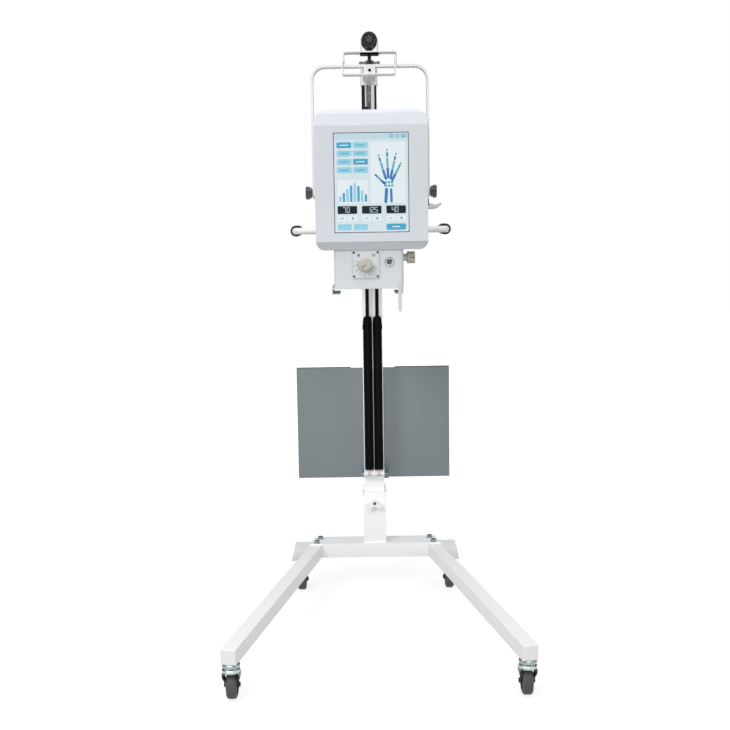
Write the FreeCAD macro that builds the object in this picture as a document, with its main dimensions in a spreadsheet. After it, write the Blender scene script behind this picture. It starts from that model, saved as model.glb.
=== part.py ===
"""Portable x-ray machine on a folding mobile stand, in millimetres.

The frame has +X to the machine's right as seen from its screen, -Y towards the operator who faces
the screen, and +Z up. The origin lies on the floor, under the middle of the machine's outline.
"""
import FreeCAD, Part
import os
import re

import Sketcher
from FreeCAD import Placement, Rotation, Vector

doc = FreeCAD.newDocument("portable_xray_machine")
sheet = doc.addObject("Spreadsheet::Sheet", "Sizes")

# Driving dimensions. A text that starts with = is worked out from the ones above it.
SIZES = {
    # Clearances shared by all pieces
    "run_fit": 0.05,
    "seat_gap": 0.3,
    # Stand
    "mast_axis_y": 303,
    "caster_height": 90,
    "leg_side": 35,
    "leg_wall": 2.5,
    "leg_length": 838,
    "leg_splay": 12.1,
    "leg_rear_x": 159,
    "leg_rear_inset": 7.5,
    "leg_slip": 0.2,
    "bar_wall": 3,
    "bar_depth": 70,
    "bar_margin": 1.5,
    "bar_bottom": "=caster_height - leg_slip - bar_wall",
    "bar_height": "=leg_side + 2 * leg_slip + 2 * bar_wall",
    "bar_top": "=bar_bottom + bar_height",
    "cap_thickness": 3,
    "cap_plug": 8,
    "bolt_radius": 4,
    "bolt_hex_radius": 7.5,
    "bolt_head_height": 6,
    "washer_radius": 8.5,
    "washer_thickness": 1.6,
    "leg_bolt_inset": 12,
    "leg_bolt_spacing": 42,
    "outrigger_length": 74,
    "outrigger_front": 75,
    "outrigger_top_x": 234,
    "outrigger_foot_x": 242,
    "outrigger_wall": 3,
    # Casters
    "caster_inset": 15,
    "rear_caster_x": 214,
    "rear_caster_front": 41,
    "caster_trail": 14,
    "wheel_radius": 31.5,
    "wheel_width": 24,
    "tread_round": 7,
    "hub_radius": 8,
    "hub_side_gap": 0.3,
    "rim_radius": 22,
    "web_inset": 3.5,
    "race_radius": 20.5,
    "race_height": 12,
    "race_bevel": 3,
    "race_gap": 0.3,
    "crown_height": 11,
    "stem_radius": 5,
    "stem_height": 9,
    "fork_sheet": 2.4,
    "fork_eye_radius": 9,
    "fork_top_length": 30,
    "axle_radius": 3,
    "axle_head_radius": 5.5,
    "axle_head_height": 3.5,
    # Column and fold
    "column_side": 65,
    "column_wall": 3,
    "fold_rise": 141.8,
    "fold_height": "=bar_top + fold_rise",
    "column_front_rise": 12,
    "column_front_top": "=fold_height + column_front_rise",
    "ear_radius": 26,
    "column_rear_drop": 32,
    "column_rear_top": "=fold_height - column_rear_drop",
    "pin_radius": 6,
    "pin_head_radius": 9,
    "pin_head_height": 2,
    "wing_bolt_drop": 20,
    "wing_bolt_height": "=fold_height - wing_bolt_drop",
    "wing_bolt_radius": 5,
    "wing_nut_radius": 9,
    "wing_span": 52,
    "wing_thickness": 5,
    "wing_reach": 14,
    "wing_drop": 35,
    "boss_radius": 9,
    # Mast
    "mast_width": 58,
    "mast_depth": 55,
    "mast_wall": 3,
    "mast_rise": 800,
    "mast_top": "=fold_height + mast_rise",
    "mast_round": 27.2,
    "foot_height": 90,
    "bush_plug": 30,
    "bush_flange": 12,
    "post_radius": 21,
    "post_wall": 2.5,
    "post_engaged": 310,
    "post_bottom": "=mast_top - post_engaged",
    "lift_travel": 180,
    # Gas springs
    "spring_pitch": 27.6,
    "spring_offset": 42,
    "spring_radius": 12.75,
    "spring_bore": 10.5,
    "spring_foot": 3,
    "spring_bottom": "=eye_height + eye_radius + spring_foot",
    "spring_length": 443,
    "spring_top": "=spring_bottom + spring_length",
    "spring_round": 4,
    "spring_guide": 12,
    "spring_tab": 3,
    "rod_radius": 5,
    "rod_engaged": 60,
    "piston_radius": 10,
    "piston_height": 12,
    "eye_rise": 69,
    "eye_height": "=fold_height + eye_rise",
    "eye_width": 7,
    "eye_radius": 8,
    "anchor_radius": 4,
    "lug_sheet": 3,
    "lug_reach": 12,
    "spacer_radius": 9.5,
    "crosshead_gap": 16,
    "crosshead_bottom": "=mast_top + bush_flange + lift_travel + crosshead_gap",
    "crosshead_height": 24,
    "crosshead_collar": 29,
    "rod_nut_radius": 8,
    "rod_nut_height": 7,
    # Push bar
    "push_drop": 35,
    "push_height": "=mast_top - push_drop",
    "push_radius": 9.5,
    "push_half_width": 218,
    "push_bend": 24,
    "push_block_width": 44,
    "push_block_height": 30,
    "grip_radius": 16,
    "grip_length": 110,
    "grip_start": 45,
    "grip_groove": 1.6,
    "grip_groove_width": 4,
    "grip_groove_pitch": 12,
    "grip_groove_count": 7,
    # Detector pocket
    "pocket_width": 445,
    "pocket_height": 327,
    "pocket_rise": 41,
    "pocket_bottom": "=fold_height + pocket_rise",
    "pocket_depth": 21,
    "pocket_sheet": 2,
    "pocket_edge": 6,
    "cutout_width": 130,
    "cutout_height": 60,
    "screw_radius": 3,
    "screw_reach": 10,
    "screw_pitch": 36,
    # Arm, clamp and bail
    "bail_offset": 292,
    "strap_slip": 0.2,
    "arm_rise": 150.5,
    "arm_height": "=crosshead_bottom + crosshead_height + arm_rise",
    "arm_radius": 17.5,
    "arm_wall": 2.5,
    "collar_radius": 24,
    "collar_drop": 18,
    "collar_height": 45.5,
    "collar_roof": 6,
    "hoop_width": 135,
    "hoop_depth": 38,
    "hoop_sheet": 3,
    "hoop_drop": 28.5,
    "hoop_bottom": "=arm_height - hoop_drop",
    "hoop_height": 57,
    "hoop_top": "=hoop_bottom + hoop_height",
    "hoop_join_drop": 14,
    "hoop_join": "=hoop_top - hoop_join_drop",
    "hoop_overlap": 12,
    "hoop_round": 6,
    "bail_width": 297,
    "bail_thickness": 6,
    "bail_depth": 30,
    "saddle_height": 16,
    "bail_top": "=hoop_bottom + hoop_sheet + saddle_height + bail_thickness",
    "bail_round": 36,
    "bail_end": 15,
    "tilt_drop": 315,
    "tilt_height": "=bail_top - tilt_drop",
    "saddle_width": 30,
    "nut_plate_width": 47,
    "nut_plate_thickness": 5,
    "clamp_radius": 4.5,
    "clamp_pad_radius": 8.5,
    "clamp_pad_height": 9,
    "tommy_drop": 26.2,
    "tommy_height": "=hoop_top - tommy_drop",
    "tommy_radius": 2.5,
    "tommy_span": 53,
    "tommy_ball": 4,
    "star_hub_radius": 10,
    "star_hub_height": 3,
    "star_radius": 17,
    "star_thickness": 15,
    "star_base_radius": 14,
    "star_lobes": 6,
    "star_notch": 5,
    "tilt_screw_radius": 4,
    "tilt_screw_depth": 14,
    # Hand switch
    "switch_rise": 28,
    "switch_height": "=hoop_top + switch_rise",
    "switch_radius": 19.3,
    "switch_length": 92,
    "switch_front": 20,
    "clip_sheet": 1.5,
    "clip_depth": 24,
    "clip_neck": 16,
    "clip_arm": 4,
    "trigger_radius": 8,
    "trigger_proud": 4.6,
    "trigger_travel": 4,
    "trigger_depth": 12,
    # Head
    "head_width": 277.6,
    "head_drop": 144,
    "head_bottom": "=tilt_height - head_drop",
    "head_height": 341,
    "head_top": "=head_bottom + head_height",
    "head_front": 107,
    "head_back": 98,
    "head_split": 40,
    "head_wall": 3,
    "head_top_round": 30,
    "head_foot_round": 22,
    "top_bevel": 9,
    "band_height": 29,
    "band_slope": 8,
    "chin_height": 21,
    "chin_slope": 13,
    "edge_round": 3,
    "screen_rise": 164,
    "screen_centre": "=head_bottom + screen_rise",
    "glass_width": 184,
    "glass_height": 242,
    "glass_rim": 6,
    "glass_back": 8,
    "boss_radius_head": 15,
    "vent_width": 60,
    "vent_height": 4,
    "vent_pitch": 9,
    "vent_count": 7,
    "vent_drop": 91,
    "tube_width": 150,
    "tube_depth": 120,
    "tube_height": 150,
    "battery_width": 150,
    "battery_depth": 90,
    "battery_height": 70,
    "hook_drop": 29,
    # Collimator
    "beam_x": -9,
    "beam_y": -5,
    "collimator_width": 173,
    "collimator_depth": 172,
    "collimator_height": 94,
    "collimator_round": 8,
    "collimator_wall": 3,
    "dial_side": 70,
    "dial_thickness": 2,
    "dial_shift": 7.5,
    "dial_x": "=beam_x - dial_shift",
    "dial_drop": 36,
    "dial_height": "=head_bottom - dial_drop",
    "knob_radius": 15,
    "knob_length": 20,
    "knob_flute": 1.6,
    "knob_flutes": 16,
    "shaft_radius": 4,
    "shaft_reach": 12,
    "side_knob_drop": 21,
    "side_knob_height": "=head_bottom - side_knob_drop",
    "side_knob_y": -45,
    "side_boss_radius": 9,
    "side_boss_length": 9.7,
    "lamp_shift": 51.1,
    "lamp_x": "=beam_x + lamp_shift",
    "lamp_drop": 30,
    "lamp_height": "=head_bottom - lamp_drop",
    "lamp_radius": 9.5,
    "lamp_travel": 2.5,
    "lamp_proud": 5,
    "lamp_depth": 8,
    "bezel_radius": 12,
    "bezel_height": 3,
    "plate_thickness": 3,
    "plate_reach_left": 93.5,
    "plate_reach_right": 85.5,
    "plate_left": "=beam_x - plate_reach_left",
    "plate_right": "=beam_x + plate_reach_right",
    "window_side": 110,
    "rail_height": 14,
    "rail_lip": 20,
    "rail_sheet": 2.5,
    "rail_length": 130,
    "tape_width": 9,
    "tape_shift": 77,
    "tape_x": "=beam_x + tape_shift",
    "tape_drop": 82,
    "tape_top": "=head_bottom - tape_drop",
    "tape_length": 76,
    "tape_bottom": "=tape_top - tape_length",
    "tape_point": 9,
    "tape_thickness": 1,
}

for row, (word, content) in enumerate(SIZES.items(), start=1):
    sheet.set("A%d" % row, word)
    sheet.set("B%d" % row, str(content))
    sheet.setAlias("B%d" % row, word)
doc.recompute()


class Values:
    """The numbers of the sheet, read by their aliases."""

    def __getattr__(self, word):
        return float(sheet.get(word))


v = Values()
ALONG = {"x": Rotation(Vector(0, 1, 0), 90), "y": Rotation(Vector(1, 0, 0), -90), "z": Rotation()}
NODES = []
SIDES = (("left", -1), ("right", 1))


def refer(formula):
    """Turn each alias in a formula into a reference to the sheet."""
    return re.sub(r"[a-z_]+", lambda word: "Sizes." + word.group() if word.group() in SIZES else word.group(),
                  formula)


def bind(thing, **formulas):
    """Bind properties of an object to formulas of the sheet."""
    for name, formula in formulas.items():
        thing.setExpression(name, refer(formula))
    thing.recompute()
    return thing


def node(thing, name, place=None):
    """Name a finished sub-part, and put it in its place."""
    thing.Label = name
    if place is not None:
        thing.Placement = place
    NODES.append(thing)
    return thing


def at(x=0.0, y=0.0, z=0.0, turn=None):
    return Placement(Vector(x, y, z), turn or Rotation())


# Building blocks: primitives and booleans
def block(name, length, width, height, place, centre=(0.5, 0.5, 0)):
    """A box whose named share of each side lies at its place."""
    made = bind(doc.addObject("Part::Box", name), Length=length, Width=width, Height=height)
    sides = (made.Length.Value, made.Width.Value, made.Height.Value)
    shift = Vector(*[-share * side for share, side in zip(centre, sides)])
    made.Placement = place.multiply(Placement(shift, Rotation()))
    return made


def rod(name, radius, length, place, along="z"):
    """A cylinder that runs from its place along one axis."""
    made = bind(doc.addObject("Part::Cylinder", name), Radius=radius, Height=length)
    made.Placement = place.multiply(Placement(Vector(), ALONG[along]))
    return made


def hexagon(name, radius, height, place, along="z"):
    made = doc.addObject("Part::Prism", name)
    made.Polygon = 6
    bind(made, Circumradius=radius, Height=height)
    made.Placement = place.multiply(Placement(Vector(), ALONG[along]))
    return made


def fuse(name, *pieces):
    made = doc.addObject("Part::MultiFuse", name)
    made.Shapes = list(pieces)
    return made


def cut(name, base, *tools):
    made = doc.addObject("Part::Cut", name)
    made.Base = base
    made.Tool = tools[0] if len(tools) == 1 else fuse(name + "_tools", *tools)
    return made


def common(name, *pieces):
    made = doc.addObject("Part::MultiCommon", name)
    made.Shapes = list(pieces)
    return made


def group(name, *pieces):
    made = doc.addObject("Part::Compound", name)
    made.Links = list(pieces)
    return made


def soften(name, base, radius, chosen):
    """Round the edges of a shape that the test picks out."""
    doc.recompute()
    made = doc.addObject("Part::Fillet", name)
    made.Base = base
    numbers = [index for index, edge in enumerate(base.Shape.Edges, start=1) if chosen(edge)]
    made.Edges = [(index, radius, radius) for index in numbers]
    return made


# Building blocks: bodies drawn as sketches
def sketch(body, plane, name, offset=None):
    made = body.newObject("Sketcher::SketchObject", name)
    base = [feature for feature in body.Origin.OriginFeatures if feature.Role == plane][0]
    made.AttachmentSupport = [(base, "")]
    made.MapMode = "FlatFace"
    if offset:
        made.setExpression("AttachmentOffset.Base.z", refer(offset))
    return made


def draw(target, corners):
    """Draw a closed outline whose corners are tied to formulas of the sheet."""
    first = target.GeometryCount
    count = len(corners)
    guess = [Rotation(Vector(0, 0, 1), 360 * k / count).multVec(Vector(10, 0, 0)) for k in range(count)]
    for k in range(count):
        target.addGeometry(Part.LineSegment(guess[k], guess[(k + 1) % count]), False)
    for k in range(count):
        target.addConstraint(Sketcher.Constraint("Coincident", first + k, 2, first + (k + 1) % count, 1))
        for kind, formula, start in zip(("DistanceX", "DistanceY"), corners[k], (guess[k].x, guess[k].y)):
            place = target.addConstraint(Sketcher.Constraint(kind, first + k, 1, start))
            target.setExpression("Constraints[%d]" % place, refer(formula))


def draw_circle(target, radius, x, y):
    index = target.addGeometry(Part.Circle(Vector(5, 5, 0), Vector(0, 0, 1), 5), False)
    for kind, formula in (("Radius", radius), ("DistanceX", x), ("DistanceY", y)):
        spot = (index, 5) if kind == "Radius" else (index, 3, 5)
        place = target.addConstraint(Sketcher.Constraint(kind, *spot))
        target.setExpression("Constraints[%d]" % place, refer(formula))


def rectangle(left, bottom, right, top):
    return [(left, bottom), (right, bottom), (right, top), (left, top)]


def new_body(name):
    return doc.addObject("PartDesign::Body", name)


def pad(body, profile, length, name="pad", symmetric=False, flip=False):
    made = body.newObject("PartDesign::Pad", name)
    made.Profile = profile
    made.SideType = "Symmetric" if symmetric else "One side"
    made.Reversed = flip
    made.setExpression("Length", refer(length))
    profile.Visibility = False
    return made


def pocket(body, profile, length, name="pocket", symmetric=False, flip=False):
    """Cut a profile out of a body, and check that it did cut."""
    doc.recompute()
    before = body.Shape.Volume
    made = body.newObject("PartDesign::Pocket", name)
    made.Profile = profile
    made.SideType = "Symmetric" if symmetric else "One side"
    made.Reversed = flip
    made.setExpression("Length", refer(length))
    doc.recompute()
    if body.Shape.Volume >= before:
        raise ValueError(name + " cuts nothing")
    return made


def round_body(body, radius, chosen, name="round"):
    """Fillet the edges of a body's tip that the test picks out."""
    doc.recompute()
    tip = body.Tip
    made = body.newObject("PartDesign::Fillet", name)
    made.Base = (tip, ["Edge%d" % k for k, edge in enumerate(tip.Shape.Edges, start=1) if chosen(edge)])
    made.setExpression("Radius", refer(radius))
    return made


def turned(name, outline):
    """A body turned about its own Z axis from an outline of radius and height."""
    body = new_body(name)
    half = sketch(body, "XZ_Plane", name + "_half")
    draw(half, outline)
    made = body.newObject("PartDesign::Revolution", name + "_turn")
    made.Profile = half
    made.ReferenceAxis = (half, ["V_Axis"])
    made.Angle = 360
    return body


def runs_along(axis):
    """A test for straight edges along one axis."""
    wanted = {"x": Vector(1, 0, 0), "y": Vector(0, 1, 0), "z": Vector(0, 0, 1)}[axis]

    def test(edge):
        return edge.Curve.TypeId == "Part::GeomLine" and abs(edge.Curve.Direction.dot(wanted)) > 0.999
    return test


def middle(edge):
    return edge.BoundBox.Center


# Places that several pieces share
leg_rear_y = v.mast_axis_y + v.bar_depth / 2 - v.leg_rear_inset
bail_y = v.mast_axis_y - v.bail_offset
beam = Vector(v.beam_x, bail_y + v.beam_y, v.head_bottom)
spring_y = v.mast_axis_y - v.spring_offset


def on_leg(side, along, across=0.0, z=0.0):
    """A place given by its distance from a leg's rear end, along and across the leg."""
    start = at(side * v.leg_rear_x, leg_rear_y, z, Rotation(Vector(0, 0, 1), side * v.leg_splay))
    return start.multiply(at(side * across, -along, 0))


# Legs: square tubes that spread towards the front, with plastic end caps
def make_leg(side_name, side):
    body = new_body("leg_" + side_name)
    section = sketch(body, "XZ_Plane", "section")
    draw(section, rectangle("-leg_side / 2", "0", "leg_side / 2", "leg_side"))
    draw(section, rectangle("-leg_side / 2 + leg_wall", "leg_wall", "leg_side / 2 - leg_wall", "leg_side - leg_wall"))
    pad(body, section, "leg_length")
    holes = sketch(body, "XY_Plane", "bolt_holes")
    draw_circle(holes, "bolt_radius", "0", "-leg_bolt_inset")
    draw_circle(holes, "bolt_radius", "0", "-leg_bolt_inset - leg_bolt_spacing")
    pocket(body, holes, "leg_side", "bolt_pocket", flip=True)
    stem = sketch(body, "XY_Plane", "stem_hole")
    draw_circle(stem, "stem_radius", "0", "-leg_length + caster_inset")
    pocket(body, stem, "leg_wall", "stem_pocket", flip=True)
    node(body, "leg_" + side_name, on_leg(side, 0, z=v.caster_height))


def make_cap(side_name, side):
    end = on_leg(side, v.leg_length, z=v.caster_height)
    cover = block("cap_cover_" + side_name, "leg_side", "cap_thickness", "leg_side", end, (0.5, 1, 0))
    cover = soften("cap_soft_" + side_name, cover, v.cap_thickness / 3, lambda edge: True)
    inside = end.multiply(at(0, 0, v.leg_wall + v.leg_slip))
    plug = block("cap_plug_" + side_name, "leg_side - 2 * leg_wall - 2 * leg_slip", "cap_plug",
                 "leg_side - 2 * leg_wall - 2 * leg_slip", inside, (0.5, 0, 0))
    return fuse("cap_" + side_name, cover, plug)


for side_name, side in SIDES:
    make_leg(side_name, side)
node(group("caps", *[make_cap(*pair) for pair in SIDES]), "leg_end_caps")


# Crossbar: a rectangular tube whose open ends take the legs between its top and bottom walls
def make_crossbar():
    floor_place = at(0, v.mast_axis_y, v.bar_bottom)
    span = "2 * (leg_rear_x + leg_side + bar_depth)"
    solid = block("bar_solid", span, "bar_depth", "bar_height", floor_place)
    hollow = block("bar_hollow", span, "bar_depth - 2 * bar_wall", "bar_height - 2 * bar_wall",
                   floor_place.multiply(at(0, 0, v.bar_wall)))
    tools = [hollow]
    for side_name, side in SIDES:
        share = 0.5 - 0.5 * side
        inner_side = on_leg(side, -0.5, -v.leg_side / 2 - v.leg_slip, v.bar_bottom + v.bar_wall)
        tools.append(block("bar_mouth_" + side_name, "leg_length", "leg_length",
                           "bar_height - 2 * bar_wall", inner_side, (share, 1, 0)))
        outer_side = on_leg(side, 0, v.leg_side / 2 + v.bar_margin, v.bar_bottom - 1)
        tools.append(block("bar_end_" + side_name, "leg_length", "leg_length", "bar_height + 2",
                           outer_side, (share, 0.5, 0)))
        for step in (0, 1):
            along = v.leg_bolt_inset + step * v.leg_bolt_spacing
            tools.append(rod("bar_hole_%s_%d" % (side_name, step), "bolt_radius", "bar_height + 2",
                             on_leg(side, along, z=v.bar_bottom - 1)))
    node(cut("crossbar_cut", solid, *tools), "crossbar")


def make_leg_bolt(side_name, side, step):
    """A hexagon bolt with two washers and a nut, through the crossbar and the leg."""
    name = "leg_bolt_%s_%d" % (side_name, step)
    along = v.leg_bolt_inset + step * v.leg_bolt_spacing
    below = v.washer_thickness + v.bolt_head_height
    shank = rod(name + "_shank", "bolt_radius",
                "bar_height + 2 * washer_thickness + 2 * bolt_head_height",
                on_leg(side, along, z=v.bar_bottom - below))
    pieces = [shank]
    for level, z in (("top", v.bar_top), ("low", v.bar_bottom - v.washer_thickness)):
        pieces.append(rod(name + "_washer_" + level, "washer_radius", "washer_thickness", on_leg(side, along, z=z)))
    for level, z in (("head", v.bar_top + v.washer_thickness), ("nut", v.bar_bottom - below)):
        pieces.append(hexagon(name + "_" + level, "bolt_hex_radius", "bolt_head_height", on_leg(side, along, z=z)))
    return fuse(name, *pieces)


make_crossbar()
node(group("leg_bolt_set", *[make_leg_bolt(*pair, step) for pair in SIDES for step in (0, 1)]), "leg_bolts")


# Outriggers: hollow brackets on the outer side of each leg, which carry the rear casters
def make_outrigger(side_name, side):
    body = new_body("outrigger_" + side_name)
    mirror = "-" if side < 0 else ""
    section = sketch(body, "XZ_Plane", "section")
    draw(section, [("%s(leg_rear_x)" % mirror, "0"), ("%s(outrigger_foot_x)" % mirror, "0"),
                   ("%s(outrigger_top_x)" % mirror, "leg_side"), ("%s(leg_rear_x)" % mirror, "leg_side")])
    pad(body, section, "outrigger_length")
    room = sketch(body, "XZ_Plane", "room")
    draw(room, [("%s(leg_rear_x)" % mirror, "outrigger_wall"),
                ("%s(outrigger_foot_x - outrigger_wall * 1.3)" % mirror, "outrigger_wall"),
                ("%s(outrigger_top_x - outrigger_wall)" % mirror, "leg_side - outrigger_wall"),
                ("%s(leg_rear_x)" % mirror, "leg_side - outrigger_wall")])
    pocket(body, room, "outrigger_length - outrigger_wall", "room_pocket", flip=True)
    stem = sketch(body, "XY_Plane", "stem_hole")
    draw_circle(stem, "stem_radius", "%s(rear_caster_x)" % mirror,
                "-outrigger_length + outrigger_front - rear_caster_front")
    pocket(body, stem, "outrigger_wall", "stem_pocket", flip=True)
    rear = v.mast_axis_y - v.outrigger_front + v.outrigger_length
    body.Placement = at(0, rear, v.caster_height)
    leg_room = block("outrigger_leg_" + side_name, "leg_side * 3", "leg_length", "leg_side + 2",
                     on_leg(side, 0, v.leg_side / 2, v.caster_height - 1), (0.5 + 0.5 * side, 1, 0))
    return cut("outrigger_cut_" + side_name, body, leg_room)


node(group("outrigger_set", *[make_outrigger(*pair) for pair in SIDES]), "outriggers")


# Casters: a fixed raceway with a stem, a forked swivel with its axle bolt, and a rubber wheel
def make_seat(name, place):
    body = turned(name + "_seat", [
        ("0", "caster_height - race_height"), ("race_radius - race_bevel", "caster_height - race_height"),
        ("race_radius", "caster_height - race_height + race_bevel"), ("race_radius", "caster_height - race_bevel"),
        ("race_radius - race_bevel", "caster_height"), ("stem_radius", "caster_height"),
        ("stem_radius", "caster_height + stem_height"), ("0", "caster_height + stem_height")])
    body.Placement = place
    return body


def make_fork(name, place):
    crown_bottom = "caster_height - race_height - race_gap - crown_height"
    crown_top = "caster_height - race_height - race_gap"
    crown = turned(name + "_crown", [
        ("0", crown_bottom), ("race_radius - race_bevel", crown_bottom),
        ("race_radius", crown_bottom + " + race_bevel"), ("race_radius", crown_top + " - race_bevel"),
        ("race_radius - race_bevel", crown_top), ("0", crown_top)])
    front = new_body(name + "_arch")
    inner = "wheel_width / 2 + 2 * hub_side_gap"
    arch = sketch(front, "XZ_Plane", "arch")
    low = "wheel_radius - fork_eye_radius - 1"
    knee = "wheel_radius + fork_eye_radius"
    side = [(inner + " + fork_sheet", low), (inner + " + fork_sheet", knee),
            ("race_radius - 0.5", "wheel_radius * 1.75"), ("race_radius - 0.5", crown_bottom),
            ("race_radius - 0.5 - fork_sheet", crown_bottom),
            ("race_radius - 0.5 - fork_sheet", "wheel_radius * 1.75"), (inner, knee), (inner, low)]
    draw(arch, side)
    draw(arch, [("-(%s)" % x, z) for x, z in side])
    pad(front, arch, "4 * race_radius", symmetric=True)
    profile = new_body(name + "_profile")
    cheek = sketch(profile, "YZ_Plane", "cheek")
    draw(cheek, [("-fork_top_length / 2", crown_bottom), ("fork_top_length / 2", crown_bottom),
                 ("caster_trail + fork_eye_radius", "wheel_radius"),
                 ("caster_trail - fork_eye_radius", "wheel_radius")])
    pad(profile, cheek, "4 * race_radius", symmetric=True)
    eye = rod(name + "_eye", "fork_eye_radius", "2 * race_radius",
              at(-v.race_radius, v.caster_trail, v.wheel_radius), "x")
    cheeks = common(name + "_cheeks", front, fuse(name + "_side", profile, eye))
    half = v.wheel_width / 2 + 2 * v.hub_side_gap + v.fork_sheet
    hole = rod(name + "_hole", "axle_radius", "2 * race_radius",
               at(-v.race_radius, v.caster_trail, v.wheel_radius), "x")
    fork = cut(name + "_fork", fuse(name + "_frame", crown, cheeks), hole)
    shank = rod(name + "_shank", "axle_radius", "wheel_width + 4 * hub_side_gap + 2 * fork_sheet",
                at(-half, v.caster_trail, v.wheel_radius), "x")
    heads = [rod(name + "_head_" + word, "axle_head_radius", "axle_head_height",
                 at(x, v.caster_trail, v.wheel_radius), "x")
             for word, x in (("left", -half - v.axle_head_height), ("right", half))]
    axle = fuse(name + "_axle", shank, *heads)
    return node(group(name + "_fork_set", fork, axle), "caster_fork_" + name, place)


def make_wheel(name, place):
    half = "wheel_width / 2"
    hub = half + " + hub_side_gap"
    body = turned(name + "_wheel", [
        ("axle_radius + run_fit", "-(%s)" % hub), ("hub_radius", "-(%s)" % hub),
        ("hub_radius", "-(%s) + web_inset" % half), ("rim_radius", "-(%s) + web_inset" % half),
        ("rim_radius", "-(%s)" % half), ("wheel_radius", "-(%s)" % half), ("wheel_radius", half),
        ("rim_radius", half), ("rim_radius", half + " - web_inset"), ("hub_radius", half + " - web_inset"),
        ("hub_radius", hub), ("axle_radius + run_fit", hub)])
    doc.recompute()
    limit = v.wheel_radius - 0.1
    round_body(body, "tread_round", lambda edge: edge.BoundBox.XMax > limit and edge.BoundBox.ZLength < 0.1)
    axle = at(0, v.caster_trail, v.wheel_radius, ALONG["x"])
    return node(body, "caster_wheel_" + name, place.multiply(axle))


forward = Rotation(Vector(0, 0, 1), 180)
seats = []
for side_name, side in SIDES:
    front_spot = on_leg(side, v.leg_length - v.caster_inset).Base
    rear_spot = Vector(side * v.rear_caster_x, v.mast_axis_y - v.rear_caster_front, 0)
    for word, spot, turn in (("front_", front_spot, Rotation()), ("rear_", rear_spot, forward)):
        caster_place = at(spot.x, spot.y, 0, turn)
        make_fork(word + side_name, caster_place)
        make_wheel(word + side_name, caster_place)
        seats.append(make_seat(word + side_name, caster_place))
node(group("caster_seat_set", *seats), "caster_seats")


# Lower column: a square tube with two rounded ears, between which the mast folds backwards
def make_column():
    foot = at(0, v.mast_axis_y, v.bar_top)
    height = "fold_height + ear_radius - bar_top"
    solid = block("column_solid", "column_side", "column_side", height, foot)
    hollow = block("column_hollow", "column_side - 2 * column_wall", "column_side - 2 * column_wall",
                   height + " + 2", foot)
    rear = block("column_rear", "column_side + 2", "column_side", "column_side * 2",
                 at(0, v.mast_axis_y + v.ear_radius, v.column_rear_top), (0.5, 0, 0))
    above = block("column_above", "column_side + 2", "column_side + 2", "column_side",
                  at(0, v.mast_axis_y, v.column_front_top))
    disc = rod("column_disc", "ear_radius", "column_side + 4",
               at(-v.column_side / 2 - 2, v.mast_axis_y, v.fold_height), "x")
    trim = cut("column_trim", above, disc)
    pin_hole = rod("column_pin_hole", "pin_radius", "column_side + 2",
                   at(-v.column_side / 2 - 1, v.mast_axis_y, v.fold_height), "x")
    front = v.mast_axis_y - v.column_side / 2
    boss = rod("column_boss", "boss_radius", "column_wall + 3",
               at(0, front, v.wing_bolt_height), "y")
    bolt_hole = rod("column_bolt_hole", "wing_bolt_radius + run_fit", "column_side / 2",
                    at(0, front - 1, v.wing_bolt_height), "y")
    tube = cut("column_tube", solid, hollow, rear, trim, pin_hole)
    node(cut("column_cut", fuse("column_with_boss", tube, boss), bolt_hole), "lower_column")


def make_pivot_pin():
    half = v.column_side / 2
    shank = rod("pin_shank", "pin_radius", "column_side", at(-half, v.mast_axis_y, v.fold_height), "x")
    heads = [rod("pin_head_" + word, "pin_head_radius", "pin_head_height",
                 at(x, v.mast_axis_y, v.fold_height), "x")
             for word, x in (("left", -half - v.pin_head_height), ("right", half))]
    node(fuse("pin_fuse", shank, *heads), "pivot_pin")


def make_wing_bolt():
    """A bolt with two drooping wings, whose tip stops just short of the mast foot."""
    front = v.mast_axis_y - v.column_side / 2
    drop = v.fold_height - v.wing_bolt_height
    foot_face = v.mast_axis_y - (v.mast_round ** 2 - (drop - v.wing_bolt_radius) ** 2) ** 0.5
    place = at(0, foot_face - v.seat_gap, v.wing_bolt_height)
    reach = foot_face - v.seat_gap - (front - v.seat_gap)
    shank = doc.addObject("Part::Cylinder", "wing_shank")
    bind(shank, Radius="wing_bolt_radius")
    shank.Height = reach
    shank.Placement = place.multiply(at(0, -reach, 0, ALONG["y"]))
    face = at(0, front - v.seat_gap, v.wing_bolt_height)
    hub = rod("wing_hub", "wing_nut_radius", "wing_reach", face.multiply(at(0, -v.wing_reach, 0)), "y")
    wings = []
    for side_name, side in SIDES:
        droop = Rotation(Vector(0, 1, 0), side * v.wing_drop)
        start = face.multiply(at(0, -v.wing_reach, 0)).multiply(at(0, 0, 0, droop))
        wing = block("wing_" + side_name, "wing_span / 2 - 2", "wing_reach * 0.75", "wing_nut_radius * 1.5",
                     start, (0.5 - 0.5 * side, 0, 0.5))
        wings.append(soften("wing_soft_" + side_name, wing, v.wing_nut_radius / 2, runs_along("y")))
    node(fuse("wing_fuse", shank, hub, *wings), "wing_bolt")


make_column()
make_pivot_pin()
make_wing_bolt()


# Mast: a rectangular tube with a rounded foot, a plastic insert and a guide bush at its top
def mast_place(x=0.0, y=0.0, z=0.0):
    """A place counted from the mast's axis at floor level."""
    return at(x, v.mast_axis_y + y, z)


def screw_spots():
    """Where the detector pocket is screwed to the mast."""
    return [(x, v.pocket_bottom + share * v.pocket_height)
            for x in (-v.screw_pitch / 2, v.screw_pitch / 2) for share in (0.2, 0.8)]


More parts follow.
